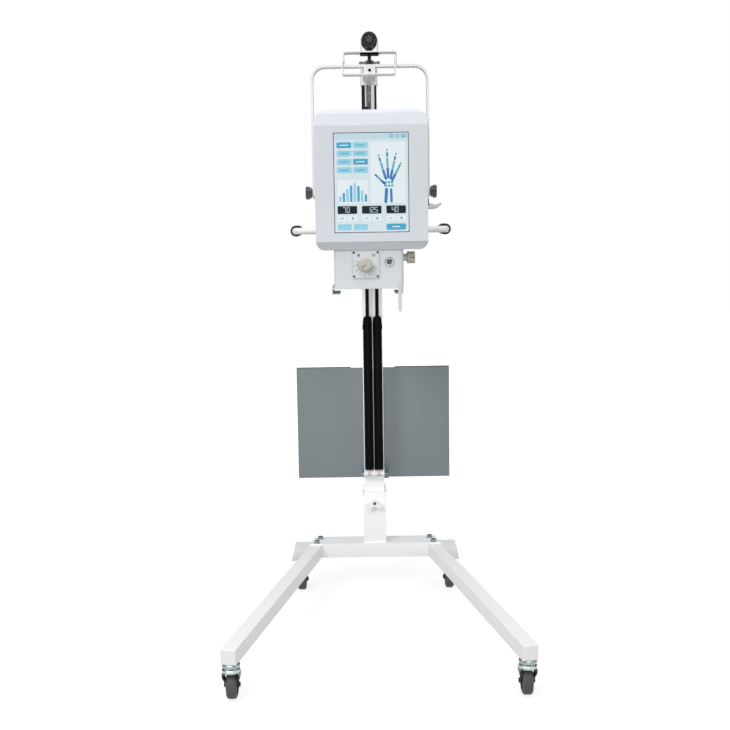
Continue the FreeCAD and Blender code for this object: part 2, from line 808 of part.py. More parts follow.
def make_mast():
    solid = block("mast_solid", "mast_width", "mast_depth", "mast_top - fold_height + mast_round",
                  mast_place(z=v.fold_height - v.mast_round))
    hollow = block("mast_hollow", "mast_width - 2 * mast_wall", "mast_depth - 2 * mast_wall",
                   "mast_top", mast_place(z=v.fold_height - v.mast_round - 1))
    below = block("mast_below", "mast_width + 2", "mast_depth + 2", "mast_round + 2",
                  mast_place(z=v.fold_height), (0.5, 0.5, 1))
    disc = rod("mast_disc", "mast_round", "mast_width + 4",
               mast_place(-v.mast_width / 2 - 2, 0, v.fold_height), "x")
    trim = cut("mast_trim", below, disc)
    hole = rod("mast_pin_hole", "pin_radius + run_fit", "mast_width + 2",
               mast_place(-v.mast_width / 2 - 1, 0, v.fold_height), "x")
    screws = [rod("mast_screw_hole_%d" % k, "screw_radius", "screw_reach + 2",
                  mast_place(x, v.mast_depth / 2 - v.screw_reach, z), "y")
              for k, (x, z) in enumerate(screw_spots())]
    node(cut("mast_cut", solid, hollow, trim, hole, *screws), "mast_tube")


def make_foot():
    """The insert that fills the mast's rounded end."""
    width = "mast_width - 2 * mast_wall"
    solid = block("foot_solid", width, "mast_depth - 2 * mast_wall", "foot_height",
                  mast_place(z=v.fold_height - v.mast_round))
    disc = rod("foot_disc", "mast_round", "mast_width", mast_place(-v.mast_width / 2, 0, v.fold_height), "x")
    upper = block("foot_upper", width, "mast_depth", "foot_height", mast_place(z=v.fold_height))
    form = common("foot_form", solid, fuse("foot_limits", disc, upper))
    hole = rod("foot_hole", "pin_radius + run_fit", "mast_width + 2",
               mast_place(-v.mast_width / 2 - 1, 0, v.fold_height), "x")
    node(cut("foot_cut", form, hole), "mast_foot")


def make_bush():
    plug = block("bush_plug", "mast_width - 2 * mast_wall", "mast_depth - 2 * mast_wall",
                 "bush_plug", mast_place(z=v.mast_top), (0.5, 0.5, 1))
    flange = block("bush_flange", "mast_width", "mast_depth", "bush_flange", mast_place(z=v.mast_top))
    flange = soften("bush_soft", flange, v.bush_flange / 3, lambda edge: middle(edge).z > v.mast_top + 1)
    bore = rod("bush_bore", "post_radius + run_fit", "bush_plug + bush_flange + 2",
               mast_place(z=v.mast_top - v.bush_plug - 1))
    node(cut("bush_cut", fuse("bush_fuse", plug, flange), bore), "mast_bush")


make_mast()
make_foot()
make_bush()


# Gas springs: two struts side by side in front of the mast, with their rods on the crosshead
def make_spring(side_name, side):
    outline = [
        ("0", "spring_bottom"), ("spring_radius - spring_round", "spring_bottom"),
        ("spring_radius", "spring_bottom + spring_round"), ("spring_radius", "spring_top - 3 * spring_round"),
        ("spring_radius - 1", "spring_top - 3 * spring_round"), ("spring_radius - 1", "spring_top - spring_round"),
        ("spring_radius - spring_round - 1", "spring_top"), ("rod_radius + run_fit", "spring_top"),
        ("rod_radius + run_fit", "spring_top - spring_guide"), ("spring_bore", "spring_top - spring_guide"),
        ("spring_bore", "spring_bottom + spring_round"), ("0", "spring_bottom + spring_round")]
    barrel = turned("spring_barrel_" + side_name, outline)
    x = side * v.spring_pitch / 2
    barrel.Placement = at(x, spring_y, 0)
    eye_place = at(x - v.eye_width / 2, spring_y, v.eye_height)
    eye = rod("spring_eye_" + side_name, "eye_radius", "eye_width", eye_place, "x")
    neck = block("spring_neck_" + side_name, "eye_width", "2 * eye_radius", "spring_bottom - eye_height",
                 at(x, spring_y, v.eye_height))
    hole = rod("spring_eye_hole_" + side_name, "anchor_radius", "eye_width + 2", eye_place.multiply(at(-1, 0, 0)), "x")
    tab = block("spring_tab_" + side_name, "spring_tab", "spring_tab * 2", "spring_tab * 4",
                at(x + side * v.spring_radius, spring_y, v.spring_top - v.spring_tab * 12), (0.5, 0.5, 0))
    whole = cut("spring_cut_" + side_name, fuse("spring_fuse_" + side_name, eye, neck), hole)
    node(fuse("spring_whole_" + side_name, whole, barrel, tab), "gas_spring_" + side_name)


def make_rod(side_name, side):
    """A piston rod, with its piston, shoulder and nut."""
    piston_bottom = "spring_top - spring_guide - rod_engaged"
    shoulder = "crosshead_bottom - rod_nut_height"
    top = "crosshead_bottom + crosshead_height"
    body = turned("spring_rod_" + side_name, [
        ("0", piston_bottom), ("piston_radius", piston_bottom),
        ("piston_radius", piston_bottom + " + piston_height"), ("rod_radius", piston_bottom + " + piston_height"),
        ("rod_radius", shoulder), ("rod_nut_radius", shoulder), ("rod_nut_radius", "crosshead_bottom"),
        ("rod_radius", "crosshead_bottom"), ("rod_radius", top), ("rod_nut_radius", top),
        ("rod_nut_radius", top + " + rod_nut_height"), ("0", top + " + rod_nut_height")])
    body.Placement = at(side * v.spring_pitch / 2, spring_y, 0)
    return body


def make_crosshead():
    low = mast_place(z=v.crosshead_bottom)
    collar = rod("crosshead_ring", "crosshead_collar", "crosshead_height", low)
    tongue = block("crosshead_tongue", "spring_pitch + 2 * spring_radius", "spring_offset + spring_radius",
                   "crosshead_height", low, (0.5, 1, 0))
    tongue = soften("crosshead_soft", tongue, v.spring_radius / 2,
                    lambda edge: runs_along("z")(edge) and middle(edge).y < spring_y)
    bores = [rod("crosshead_bore", "post_radius", "crosshead_height + 2", mast_place(z=v.crosshead_bottom - 1))]
    for side_name, side in SIDES:
        bores.append(rod("crosshead_hole_" + side_name, "rod_radius", "crosshead_height + 2",
                         at(side * v.spring_pitch / 2, spring_y, v.crosshead_bottom - 1)))
    node(cut("crosshead_cut", fuse("crosshead_fuse", collar, tongue), *bores), "spring_crosshead")


def make_anchor():
    """The lugs on the mast that hold the lower eyes, with their cross bolt and spacers."""
    face = -v.mast_depth / 2
    lug_half = v.mast_width / 2
    lugs = []
    for word, x in (("left", -lug_half), ("middle", -v.lug_sheet / 2), ("right", lug_half - v.lug_sheet)):
        start = mast_place(x, -v.spring_offset, v.eye_height)
        nose = rod("lug_nose_" + word, "lug_reach", "lug_sheet", start, "x")
        web = block("lug_web_" + word, "lug_sheet", "spring_offset - mast_depth / 2", "2 * lug_reach",
                    start, (0, 0, 0.5))
        lugs += [nose, web]
    hole = rod("lug_hole", "anchor_radius", "mast_width + 2",
               mast_place(-lug_half - 1, -v.spring_offset, v.eye_height), "x")
    back = block("lug_back", "mast_width", "lug_sheet", "2 * lug_reach",
                 mast_place(0, face, v.eye_height), (0.5, 1, 0.5))
    node(cut("lug_cut", fuse("lug_fuse", back, *lugs), hole), "spring_bracket")
    bolt_start = mast_place(-lug_half - v.bolt_head_height, -v.spring_offset, v.eye_height)
    shank = rod("anchor_shank", "anchor_radius", "mast_width + 3 * bolt_head_height", bolt_start, "x")
    head = hexagon("anchor_head", "bolt_hex_radius", "bolt_head_height", bolt_start, "x")
    nut = rod("anchor_nut", "bolt_hex_radius", "bolt_head_height",
              mast_place(lug_half, -v.spring_offset, v.eye_height), "x")
    wings = []
    for word, lean in (("up", -50), ("low", 50)):
        wing_place = mast_place(lug_half, -v.spring_offset, v.eye_height).multiply(
            at(0, 0, 0, Rotation(Vector(1, 0, 0), lean + 90)))
        wings.append(block("anchor_wing_" + word, "2 * bolt_head_height", "wing_thickness / 2",
                           "2 * bolt_hex_radius", wing_place, (0, 0.5, 0)))
    node(fuse("anchor_fuse", shank, head, nut, *wings), "spring_anchor_bolt")
    rings = []
    outer = lug_half - v.lug_sheet - v.spring_pitch / 2 - v.eye_width / 2
    inner = v.spring_pitch / 2 - v.eye_width / 2 - v.lug_sheet / 2
    for side_name, side in SIDES:
        for word, centre, wide in (
                ("outer", v.spring_pitch / 2 + v.eye_width / 2 + outer / 2, outer),
                ("inner", v.lug_sheet / 2 + inner / 2, inner)):
            start = mast_place(side * centre - wide / 2, -v.spring_offset, v.eye_height)
            ring = doc.addObject("Part::Feature", "spacer_%s_%s" % (side_name, word))
            sleeve = Part.makeCylinder(v.spacer_radius, wide, start.Base, Vector(1, 0, 0))
            ring.Shape = sleeve.cut(Part.makeCylinder(v.anchor_radius, wide, start.Base, Vector(1, 0, 0)))
            rings.append(ring)
    node(group("spacer_set", *rings), "spring_spacers")


for side_name, side in SIDES:
    make_spring(side_name, side)
make_crosshead()
make_anchor()
node(group("spring_rod_set", *[make_rod(*pair) for pair in SIDES]), "spring_rods")


# Chrome post: it slides in the mast and carries the arm
def make_post():
    top = "arm_height - collar_drop + collar_height - collar_roof"
    body = turned("post", [
        ("post_radius - post_wall", "post_bottom"), ("post_radius", "post_bottom"),
        ("post_radius", top), ("post_radius - post_wall", top)])
    node(body, "chrome_post", mast_place())


make_post()


# Push bar: a bent tube on a block behind the mast's top, with two ribbed grips
def make_push_bar():
    back = v.mast_depth / 2 + v.push_radius
    straight = "2 * (push_half_width - push_bend)"
    half = v.push_half_width - v.push_bend
    pieces = [rod("push_middle", "push_radius", straight, mast_place(-half, back, v.push_height), "x"),
              block("push_block", "push_block_width", "push_radius * 1.6", "push_block_height",
                    mast_place(0, v.mast_depth / 2, v.push_height), (0.5, 0, 0.5))]
    for side_name, side in SIDES:
        bend = doc.addObject("Part::Torus", "push_bend_" + side_name)
        bind(bend, Radius1="push_bend", Radius2="push_radius")
        bend.Angle3 = 90
        turn = Rotation(Vector(0, 0, 1), -90 if side > 0 else 180)
        bend.Placement = mast_place(side * half, back + v.push_bend, v.push_height).multiply(at(turn=turn))
        pieces.append(bend)
        pieces.append(rod("push_tail_" + side_name, "push_radius",
                          "grip_start + grip_length - push_bend - grip_radius",
                          mast_place(side * v.push_half_width, back + v.push_bend, v.push_height), "y"))
    node(fuse("push_fuse", *pieces), "push_bar")


def make_grip(side_name, side):
    """A sleeve with a closed end and a row of grooves."""
    body = turned("grip_" + side_name, [
        ("push_radius", "0"), ("grip_radius", "0"), ("grip_radius", "grip_length"), ("0", "grip_length"),
        ("0", "grip_length - grip_radius"), ("push_radius", "grip_length - grip_radius")])
    doc.recompute()
    round_body(body, "grip_radius / 4",
               lambda edge: edge.BoundBox.XMax > v.grip_radius - 0.1 and edge.BoundBox.ZLength < 0.1
               and edge.BoundBox.ZMax > v.grip_length - 0.1)
    mark = sketch(body, "XZ_Plane", "groove_mark")
    start = "2 * grip_groove_pitch"
    draw(mark, [("grip_radius + 1", start), ("grip_radius + 1", start + " + grip_groove_width"),
                ("grip_radius - grip_groove", start + " + grip_groove_width * 0.7"),
                ("grip_radius - grip_groove", start + " + grip_groove_width * 0.3")])
    groove = body.newObject("PartDesign::Groove", "groove")
    groove.Profile = mark
    groove.ReferenceAxis = (mark, ["V_Axis"])
    groove.Angle = 360
    doc.recompute()
    row = body.newObject("PartDesign::LinearPattern", "groove_row")
    row.Originals = [groove]
    row.Direction = (mark, ["V_Axis"])
    row.setExpression("Length", refer("grip_groove_pitch * (grip_groove_count - 1)"))
    row.setExpression("Occurrences", refer("grip_groove_count"))
    body.Tip = row
    back = v.mast_depth / 2 + v.push_radius + v.grip_start
    body.Placement = mast_place(side * v.push_half_width, back, v.push_height).multiply(at(turn=ALONG["y"]))
    return body


make_push_bar()
node(group("grip_set", *[make_grip(*pair) for pair in SIDES]), "push_grips")


# Detector pocket: two sheets held apart by a channel round three edges, with a finger cut-out in the back
def make_pocket():
    place = mast_place(0, v.mast_depth / 2, v.pocket_bottom)
    panel = block("pocket_panel", "pocket_width", "pocket_sheet", "pocket_height", place, (0.5, 0, 0))
    holes = [rod("pocket_hole_%d" % k, "screw_radius", "2 * pocket_sheet",
                 mast_place(x, (v.mast_depth - v.pocket_sheet) / 2, z), "y")
             for k, (x, z) in enumerate(screw_spots())]
    front = cut("pocket_front", panel, *holes)
    channel = new_body("pocket_channel")
    bent = sketch(channel, "XZ_Plane", "bent")
    draw(bent, [("-pocket_width / 2", "0"), ("pocket_width / 2", "0"), ("pocket_width / 2", "pocket_height"),
                ("pocket_width / 2 - pocket_edge", "pocket_height"), ("pocket_width / 2 - pocket_edge", "pocket_edge"),
                ("-pocket_width / 2 + pocket_edge", "pocket_edge"),
                ("-pocket_width / 2 + pocket_edge", "pocket_height"), ("-pocket_width / 2", "pocket_height")])
    pad(channel, bent, "pocket_depth - 2 * pocket_sheet", flip=True)
    channel.Placement = place.multiply(at(0, v.pocket_sheet, 0))
    back = new_body("pocket_back")
    outline = sketch(back, "XZ_Plane", "outline")
    draw(outline, [("-pocket_width / 2", "0"), ("pocket_width / 2", "0"), ("pocket_width / 2", "pocket_height"),
                   ("cutout_width / 2", "pocket_height"),
                   ("cutout_width / 2 - cutout_height / 3", "pocket_height - cutout_height"),
                   ("-cutout_width / 2 + cutout_height / 3", "pocket_height - cutout_height"),
                   ("-cutout_width / 2", "pocket_height"), ("-pocket_width / 2", "pocket_height")])
    pad(back, outline, "pocket_sheet", flip=True)
    back.Placement = place.multiply(at(0, v.pocket_depth - v.pocket_sheet, 0))
    node(group("pocket_set", front, channel, back), "detector_pocket")
    screws = [rod("pocket_screw_%d" % k, "screw_radius", "screw_reach + pocket_sheet",
                  mast_place(x, v.mast_depth / 2 - v.screw_reach, z), "y")
              for k, (x, z) in enumerate(screw_spots())]
    node(group("pocket_screw_set", *screws), "pocket_screws")


make_pocket()


# Arm: a collar on the post, and a tube that runs forward to the clamp
def make_arm():
    low = mast_place(z=v.arm_height - v.collar_drop)
    collar = rod("arm_collar", "collar_radius", "collar_height", low)
    collar = soften("arm_collar_soft", collar, v.collar_roof / 3,
                    lambda edge: edge.Curve.TypeId == "Part::GeomCircle" and middle(edge).z > v.arm_height)
    end = v.bail_offset - v.hoop_depth / 2
    tube = rod("arm_tube", "arm_radius", "bail_offset - hoop_depth / 2", mast_place(0, -end, v.arm_height), "y")
    plate = block("arm_plate", "2 * arm_radius", "arm_wall * 1.6", "2 * arm_radius",
                  mast_place(0, -end, v.hoop_bottom), (0.5, 0, 0))
    bore = rod("arm_bore", "post_radius + run_fit", "collar_height - collar_roof", low)
    room = rod("arm_room", "arm_radius - arm_wall", "bail_offset - hoop_depth / 2 - collar_radius - arm_radius",
               mast_place(0, -end + v.arm_wall * 1.6, v.arm_height), "y")
    swing = v.tommy_span / 2 - v.hoop_depth / 2
    mitre_start = v.tommy_height - v.tommy_ball - swing - 2 * v.seat_gap
    mitre = block("arm_mitre", "4 * arm_radius", "4 * arm_radius", "4 * arm_radius",
                  mast_place(0, -end, mitre_start).multiply(at(turn=Rotation(Vector(1, 0, 0), -45))),
                  (0.5, 1, 0))
    node(cut("arm_cut", fuse("arm_fuse", collar, tube, plate), bore, room, mitre), "arm")


def make_hoop():
    """Two bent sheets that hook into each other. The bail's strap passes through slots in the lower one."""
    half = "hoop_width / 2"
    lower = new_body("hoop_lower_body")
    low = sketch(lower, "XZ_Plane", "low")
    draw(low, [("-(%s)" % half, "hoop_join"), ("-(%s)" % half, "hoop_bottom"), (half, "hoop_bottom"),
               (half, "hoop_join"), (half + " - hoop_sheet", "hoop_join"),
               (half + " - hoop_sheet", "hoop_bottom + hoop_sheet"),
               ("-(%s) + hoop_sheet" % half, "hoop_bottom + hoop_sheet"), ("-(%s) + hoop_sheet" % half, "hoop_join")])
    pad(lower, low, "hoop_depth", symmetric=True)
    round_body(lower, "hoop_round", lambda edge: runs_along("y")(edge)
               and abs(middle(edge).x) > v.hoop_width / 2 - 0.1 and middle(edge).z < v.hoop_bottom + 0.1)
    round_body(lower, "hoop_round - hoop_sheet", lambda edge: runs_along("y")(edge)
               and abs(middle(edge).x) < v.hoop_width / 2 - 1
               and abs(middle(edge).z - v.hoop_bottom - v.hoop_sheet) < 0.1, "inner_round")
    lower.Placement = at(-v.hoop_sheet / 2, bail_y, 0)
    slots = block("hoop_strap_slots", "hoop_width + 4 * hoop_sheet", "bail_depth + 2 * strap_slip",
                  "bail_thickness + 2 * strap_slip", at(0, bail_y, v.bail_top - v.bail_thickness - v.strap_slip))
    node(cut("hoop_lower_cut", lower, slots), "hoop_lower")
    upper = new_body("hoop_upper_body")
    high = sketch(upper, "XZ_Plane", "high")
    foot = "hoop_join - hoop_overlap"
    draw(high, [("-(%s)" % half, foot), ("-(%s)" % half, "hoop_top"), (half, "hoop_top"), (half, foot),
                (half + " - hoop_sheet", foot), (half + " - hoop_sheet", "hoop_top - hoop_sheet"),
                ("-(%s) + hoop_sheet" % half, "hoop_top - hoop_sheet"), ("-(%s) + hoop_sheet" % half, foot)])
    pad(upper, high, "hoop_depth", symmetric=True)
    round_body(upper, "hoop_round", lambda edge: runs_along("y")(edge)
               and abs(middle(edge).x) > v.hoop_width / 2 - 0.1 and middle(edge).z > v.hoop_top - 0.1)
    round_body(upper, "hoop_round - hoop_sheet", lambda edge: runs_along("y")(edge)
               and abs(middle(edge).x) < v.hoop_width / 2 - 1
               and abs(middle(edge).z - v.hoop_top + v.hoop_sheet) < 0.1, "inner_round")
    upper.Placement = at(v.hoop_sheet / 2, bail_y, 0)
    hole = rod("hoop_screw_hole", "clamp_radius + run_fit", "2 * hoop_sheet",
               at(0, bail_y, v.hoop_top - 1.5 * v.hoop_sheet))
    node(cut("hoop_upper_cut", upper, hole), "hoop_upper")


def make_clamp():
    """The saddle under the bail's strap, the nut plate above it, and the screw with its tommy bar."""
    saddle = block("saddle_block", "saddle_width", "bail_depth", "saddle_height",
                   at(0, bail_y, v.hoop_bottom + v.hoop_sheet))
    node(soften("saddle_soft", saddle, v.hoop_sheet, runs_along("z")), "bail_saddle")
    under = v.hoop_top - v.hoop_sheet - v.nut_plate_thickness
    plate = block("nut_block", "nut_plate_width", "bail_depth", "nut_plate_thickness", at(0, bail_y, under))
    plate = soften("nut_soft", plate, v.hoop_round, runs_along("z"))
    hole = rod("nut_hole", "clamp_radius + run_fit", "nut_plate_thickness + 2", at(0, bail_y, under - 1))
    node(cut("nut_cut", plate, hole), "clamp_nut_plate")
    pad_bottom = v.bail_top + v.seat_gap
    pad_disc = rod("clamp_pad", "clamp_pad_radius", "clamp_pad_height", at(0, bail_y, pad_bottom))
    shank = rod("clamp_shank", "clamp_radius", "hoop_top - bail_top - 2 * seat_gap", at(0, bail_y, pad_bottom))
    tommy_start = at(-v.tommy_span / 2, bail_y, v.tommy_height)
    hole = rod("clamp_cross_hole", "tommy_radius", "tommy_span", tommy_start, "x")
    screw = cut("clamp_cut", fuse("clamp_fuse", pad_disc, shank), hole)
    knob = [("tommy_ball * 0.5", "tommy_span / 2"), ("tommy_ball", "tommy_span / 2 - tommy_ball * 0.6"),
            ("tommy_ball", "tommy_span / 2 - tommy_ball * 1.4"), ("tommy_radius", "tommy_span / 2 - 2 * tommy_ball")]
    bar = turned("tommy_rod", [("0", "-(tommy_span / 2)")] + [(x, "-(%s)" % z) for x, z in knob]
                 + knob[::-1] + [("0", "tommy_span / 2")])
    bar.Placement = at(0, bail_y, v.tommy_height, ALONG["x"])
    node(group("clamp_set", screw, bar), "clamp_screw")


def make_bail():
    """The flat yoke that the head tilts in."""
    body = new_body("bail_body")
    outer = "bail_width / 2"
    inner = "bail_width / 2 - bail_thickness"
    low = "tilt_height - bail_end"
    strap = sketch(body, "XZ_Plane", "strap")
    draw(strap, [("-(%s)" % outer, low), ("-(%s)" % outer, "bail_top"), (outer, "bail_top"), (outer, low),
                 (inner, low), (inner, "bail_top - bail_thickness"),
                 ("-(%s)" % inner, "bail_top - bail_thickness"), ("-(%s)" % inner, low)])
    pad(body, strap, "bail_depth", symmetric=True)
    round_body(body, "bail_round", lambda edge: runs_along("y")(edge) and middle(edge).z > v.bail_top - 0.1)
    round_body(body, "bail_round - bail_thickness", lambda edge: runs_along("y")(edge)
               and abs(middle(edge).z - v.bail_top + v.bail_thickness) < 0.1, "inner_round")
    round_body(body, "bail_end - 0.1", lambda edge: runs_along("x")(edge)
               and middle(edge).z < v.tilt_height - v.bail_end + 0.1, "end_round")
    holes = sketch(body, "YZ_Plane", "pivot_holes")
    draw_circle(holes, "tilt_screw_radius + run_fit", "0", "tilt_height")
    pocket(body, holes, "bail_width + 2", "pivot_pocket", symmetric=True)
    node(body, "bail", at(0, bail_y, 0))


def make_star(side_name, side):
    """A lobed tightening knob with its screw, which runs through the bail into the head."""
    body = turned("star_" + side_name, [
        ("0", "0"), ("star_hub_radius", "0"), ("star_hub_radius", "star_hub_height"),
        ("star_base_radius", "star_hub_height"), ("star_base_radius", "star_hub_height + star_thickness * 0.3"),
        ("star_radius", "star_hub_height + star_thickness * 0.45"),
        ("star_radius", "star_hub_height + star_thickness - 2"),
        ("star_radius - 2", "star_hub_height + star_thickness"), ("0", "star_hub_height + star_thickness")])
    notch = sketch(body, "XY_Plane", "notch")
    draw_circle(notch, "star_notch", "star_radius + star_notch * 0.45", "0")
    dip = pocket(body, notch, "star_hub_height + star_thickness + 1", "dip", flip=True)
    ring = body.newObject("PartDesign::PolarPattern", "dips")
    ring.Originals = [dip]
    ring.Axis = (notch, ["N_Axis"])
    ring.Angle = 360
    ring.setExpression("Occurrences", refer("star_lobes"))
    body.Tip = ring
    turn = Rotation(Vector(0, 1, 0), side * 90)
    body.Placement = at(side * (v.bail_width / 2 + v.seat_gap), bail_y, v.tilt_height, turn)
    inner = v.head_width / 2 - v.tilt_screw_depth
    reach = v.bail_width / 2 + v.seat_gap - inner
    screw = doc.addObject("Part::Cylinder", "star_screw_" + side_name)
    bind(screw, Radius="tilt_screw_radius")
    screw.Height = reach + 1
    screw.Placement = at(side * inner, bail_y, v.tilt_height, turn)
    node(fuse("star_fuse_" + side_name, body, screw), "star_knob_" + side_name)


make_arm()
make_hoop()
make_clamp()
make_bail()
for side_name, side in SIDES:
    make_star(side_name, side)


# Hand switch: a round grip that lies in a sprung clip on top of the clamp
def make_switch():
    front = bail_y - v.switch_front
    body = turned("switch_grip", [
        ("0", "trigger_depth"), ("trigger_radius + seat_gap", "trigger_depth"), ("trigger_radius + seat_gap", "0"),
        ("switch_radius - 2", "0"), ("switch_radius", "2"), ("switch_radius", "switch_length * 0.6"),
        ("switch_radius * 0.8", "switch_length - 4"), ("switch_radius * 0.6", "switch_length"),
        ("0", "switch_length")])
    node(body, "hand_switch", at(0, front, v.switch_height, ALONG["y"]))
    button = turned("switch_trigger", [
        ("0", "-trigger_proud"), ("trigger_radius - 1.5", "-trigger_proud"), ("trigger_radius", "-trigger_proud + 1.5"),
        ("trigger_radius", "trigger_depth - trigger_travel - 2 * seat_gap"),
        ("0", "trigger_depth - trigger_travel - 2 * seat_gap")])
    node(button, "switch_button", at(0, front, v.switch_height, ALONG["y"]))
    clip = new_body("clip_body")
    shape = sketch(clip, "XZ_Plane", "shape")
    inner = "switch_radius + strap_slip"
    outer = "switch_radius + strap_slip + clip_sheet"
    draw(shape, [("-(%s)" % outer, "hoop_top"), (outer, "hoop_top"), (outer, "switch_height + clip_arm"),
                 (inner, "switch_height + clip_arm"), (inner, "hoop_top + clip_sheet"),
                 ("-(%s)" % inner, "hoop_top + clip_sheet"), ("-(%s)" % inner, "switch_height + clip_arm"),
                 ("-(%s)" % outer, "switch_height + clip_arm")])
    pad(clip, shape, "clip_depth", symmetric=True)
    clip.Placement = at(0, bail_y, 0)
    neck = block("clip_neck", "clip_neck", "clip_depth", "switch_rise", at(0, bail_y, v.hoop_top))
    room = rod("clip_room", "switch_radius", "clip_depth + 2",
               at(0, bail_y - v.clip_depth / 2 - 1, v.switch_height), "y")
    node(fuse("clip_fuse", clip, cut("clip_rest", neck, room)), "switch_clip")


make_switch()


# Head: a generator and x-ray tube in two moulded shells, with a touch screen in its front
def head_form(name, inset):
    """The outer form of the head, drawn smaller by an inset on all sides."""
    front_view = new_body(name + "_front_view")
    outline = sketch(front_view, "XZ_Plane", "outline")
    draw(outline, rectangle("-head_width / 2 + " + inset, "head_bottom + " + inset,
                            "head_width / 2 - " + inset, "head_top - " + inset))
    pad(front_view, outline, "3 * head_front", symmetric=True)
    round_body(front_view, "head_top_round - " + inset,
               lambda edge: runs_along("y")(edge) and middle(edge).z > v.screen_centre)
    round_body(front_view, "head_foot_round - " + inset,
               lambda edge: runs_along("y")(edge) and middle(edge).z < v.screen_centre, "foot_round")
    side_view = new_body(name + "_side_view")
    profile = sketch(side_view, "YZ_Plane", "profile")
    front = "-head_front + " + inset
    draw(profile, [
        (front + " + chin_slope", "head_bottom + " + inset), ("head_back - " + inset, "head_bottom + " + inset),
        ("head_back - " + inset, "head_top - " + inset),
        (front + " + band_slope + top_bevel", "head_top - " + inset),
        (front + " + band_slope", "head_top - top_bevel - " + inset),
        (front, "head_top - top_bevel - band_height"), (front, "head_bottom + chin_height")])
    pad(side_view, profile, "2 * head_width", symmetric=True)
    round_body(side_view, "edge_round + head_wall - " + inset,
               lambda edge: runs_along("x")(edge) and middle(edge).y > 0, "back_round")
    return common(name, front_view, side_view)


def pivot_boss(name, side, radius, inner, outer):
    """A round boss on the tilt axis, between two distances from the head's middle."""
    made = doc.addObject("Part::Cylinder", name)
    bind(made, Radius=radius)
    made.Height = outer - inner
    made.Placement = at(side * inner, 0, v.tilt_height, Rotation(Vector(0, 1, 0), side * 90))
    return made


def make_head():
    place = at(0, bail_y, 0)
    outer = head_form("head_outer", "0")
    inner = head_form("head_inner", "head_wall")
    shell = cut("head_shell", outer, inner)
    wide = "2 * head_width"
    front_half = block("head_front_half", wide, "head_front", "head_top * 2",
                       at(0, -v.head_split, 0), (0.5, 1, 0))
    back_half = block("head_back_half", wide, "head_front + head_back", "head_top * 2",
                      at(0, -v.head_split, 0), (0.5, 0, 0))
    opening = block("head_opening", "glass_width + 2 * seat_gap", "head_front", "glass_height + 2 * seat_gap",
                    at(0, -v.head_front / 2, v.screen_centre), (0.5, 1, 0.5))
    front_shell = cut("head_front_cut", common("head_front_part", shell, front_half), opening)
    node(front_shell, "head_front_shell", place)
    bosses = []
    bores = []
    for side_name, side in SIDES:
        half = v.head_width / 2
        face = v.bail_width / 2 - v.bail_thickness - v.seat_gap
        bosses.append(pivot_boss("tilt_boss_" + side_name, side, "boss_radius_head",
                                 half - v.tilt_screw_depth - v.head_wall, face))
        bores.append(pivot_boss("tilt_bore_" + side_name, side, "tilt_screw_radius + run_fit",
                                half - v.tilt_screw_depth - v.seat_gap, face + 1))
    vents = [block("vent_%d" % k, "vent_width", "4 * head_wall", "vent_height",
                   at(side * v.head_width / 4, v.head_back, v.head_top - v.vent_drop + k * v.vent_pitch),
                   (0.5, 0.5, 0))
             for k in range(int(v.vent_count)) for side in (-1, 1)]
    back_shell = fuse("head_back_fuse", common("head_back_part", shell, back_half), *bosses)
    node(cut("head_back_cut", back_shell, *bores, *vents), "head_rear_shell", place)
    glass_front = v.head_front
    pane = block("glass_pane", "glass_width", "head_wall", "glass_height",
                 at(0, -glass_front, v.screen_centre), (0.5, 0, 0.5))
    frame = block("glass_frame", "glass_width + 2 * glass_rim", "glass_back", "glass_height + 2 * glass_rim",
                  at(0, -glass_front + v.head_wall, v.screen_centre), (0.5, 0, 0.5))
    node(fuse("glass_fuse", pane, frame), "display_panel", place)


def make_head_inside():
    """The sealed pieces: the tube housing over the beam's exit, and the battery on top of it."""
    floor = at(v.beam_x, bail_y + v.beam_y, v.head_bottom + v.head_wall)
    tube = block("tube_block", "tube_width", "tube_depth", "tube_height", floor)
    node(soften("tube_soft", tube, v.tube_depth / 6, runs_along("z")), "tube_head")
    battery = block("battery_block", "battery_width", "battery_depth", "battery_height",
                    floor.multiply(at(0, 0, v.tube_height)))
    node(soften("battery_soft", battery, v.battery_depth / 15, runs_along("z")), "battery_pack")


def make_hook():
    """The cable hook on the head's right side."""
    body = new_body("hook_body")
    side = sketch(body, "XZ_Plane", "side")
    draw(side, [("0", "-10"), ("0", "12"), ("4", "12"), ("6", "8"), ("6", "-2"), ("26", "-6"), ("36", "-2"),
                ("37", "-5"), ("26", "-10")])
    pad(body, side, "boss_radius_head", symmetric=True)
    node(body, "cable_hook", at(v.head_width / 2, bail_y - v.head_split, v.tilt_height - v.hook_drop))


make_head()
make_head_inside()
make_hook()


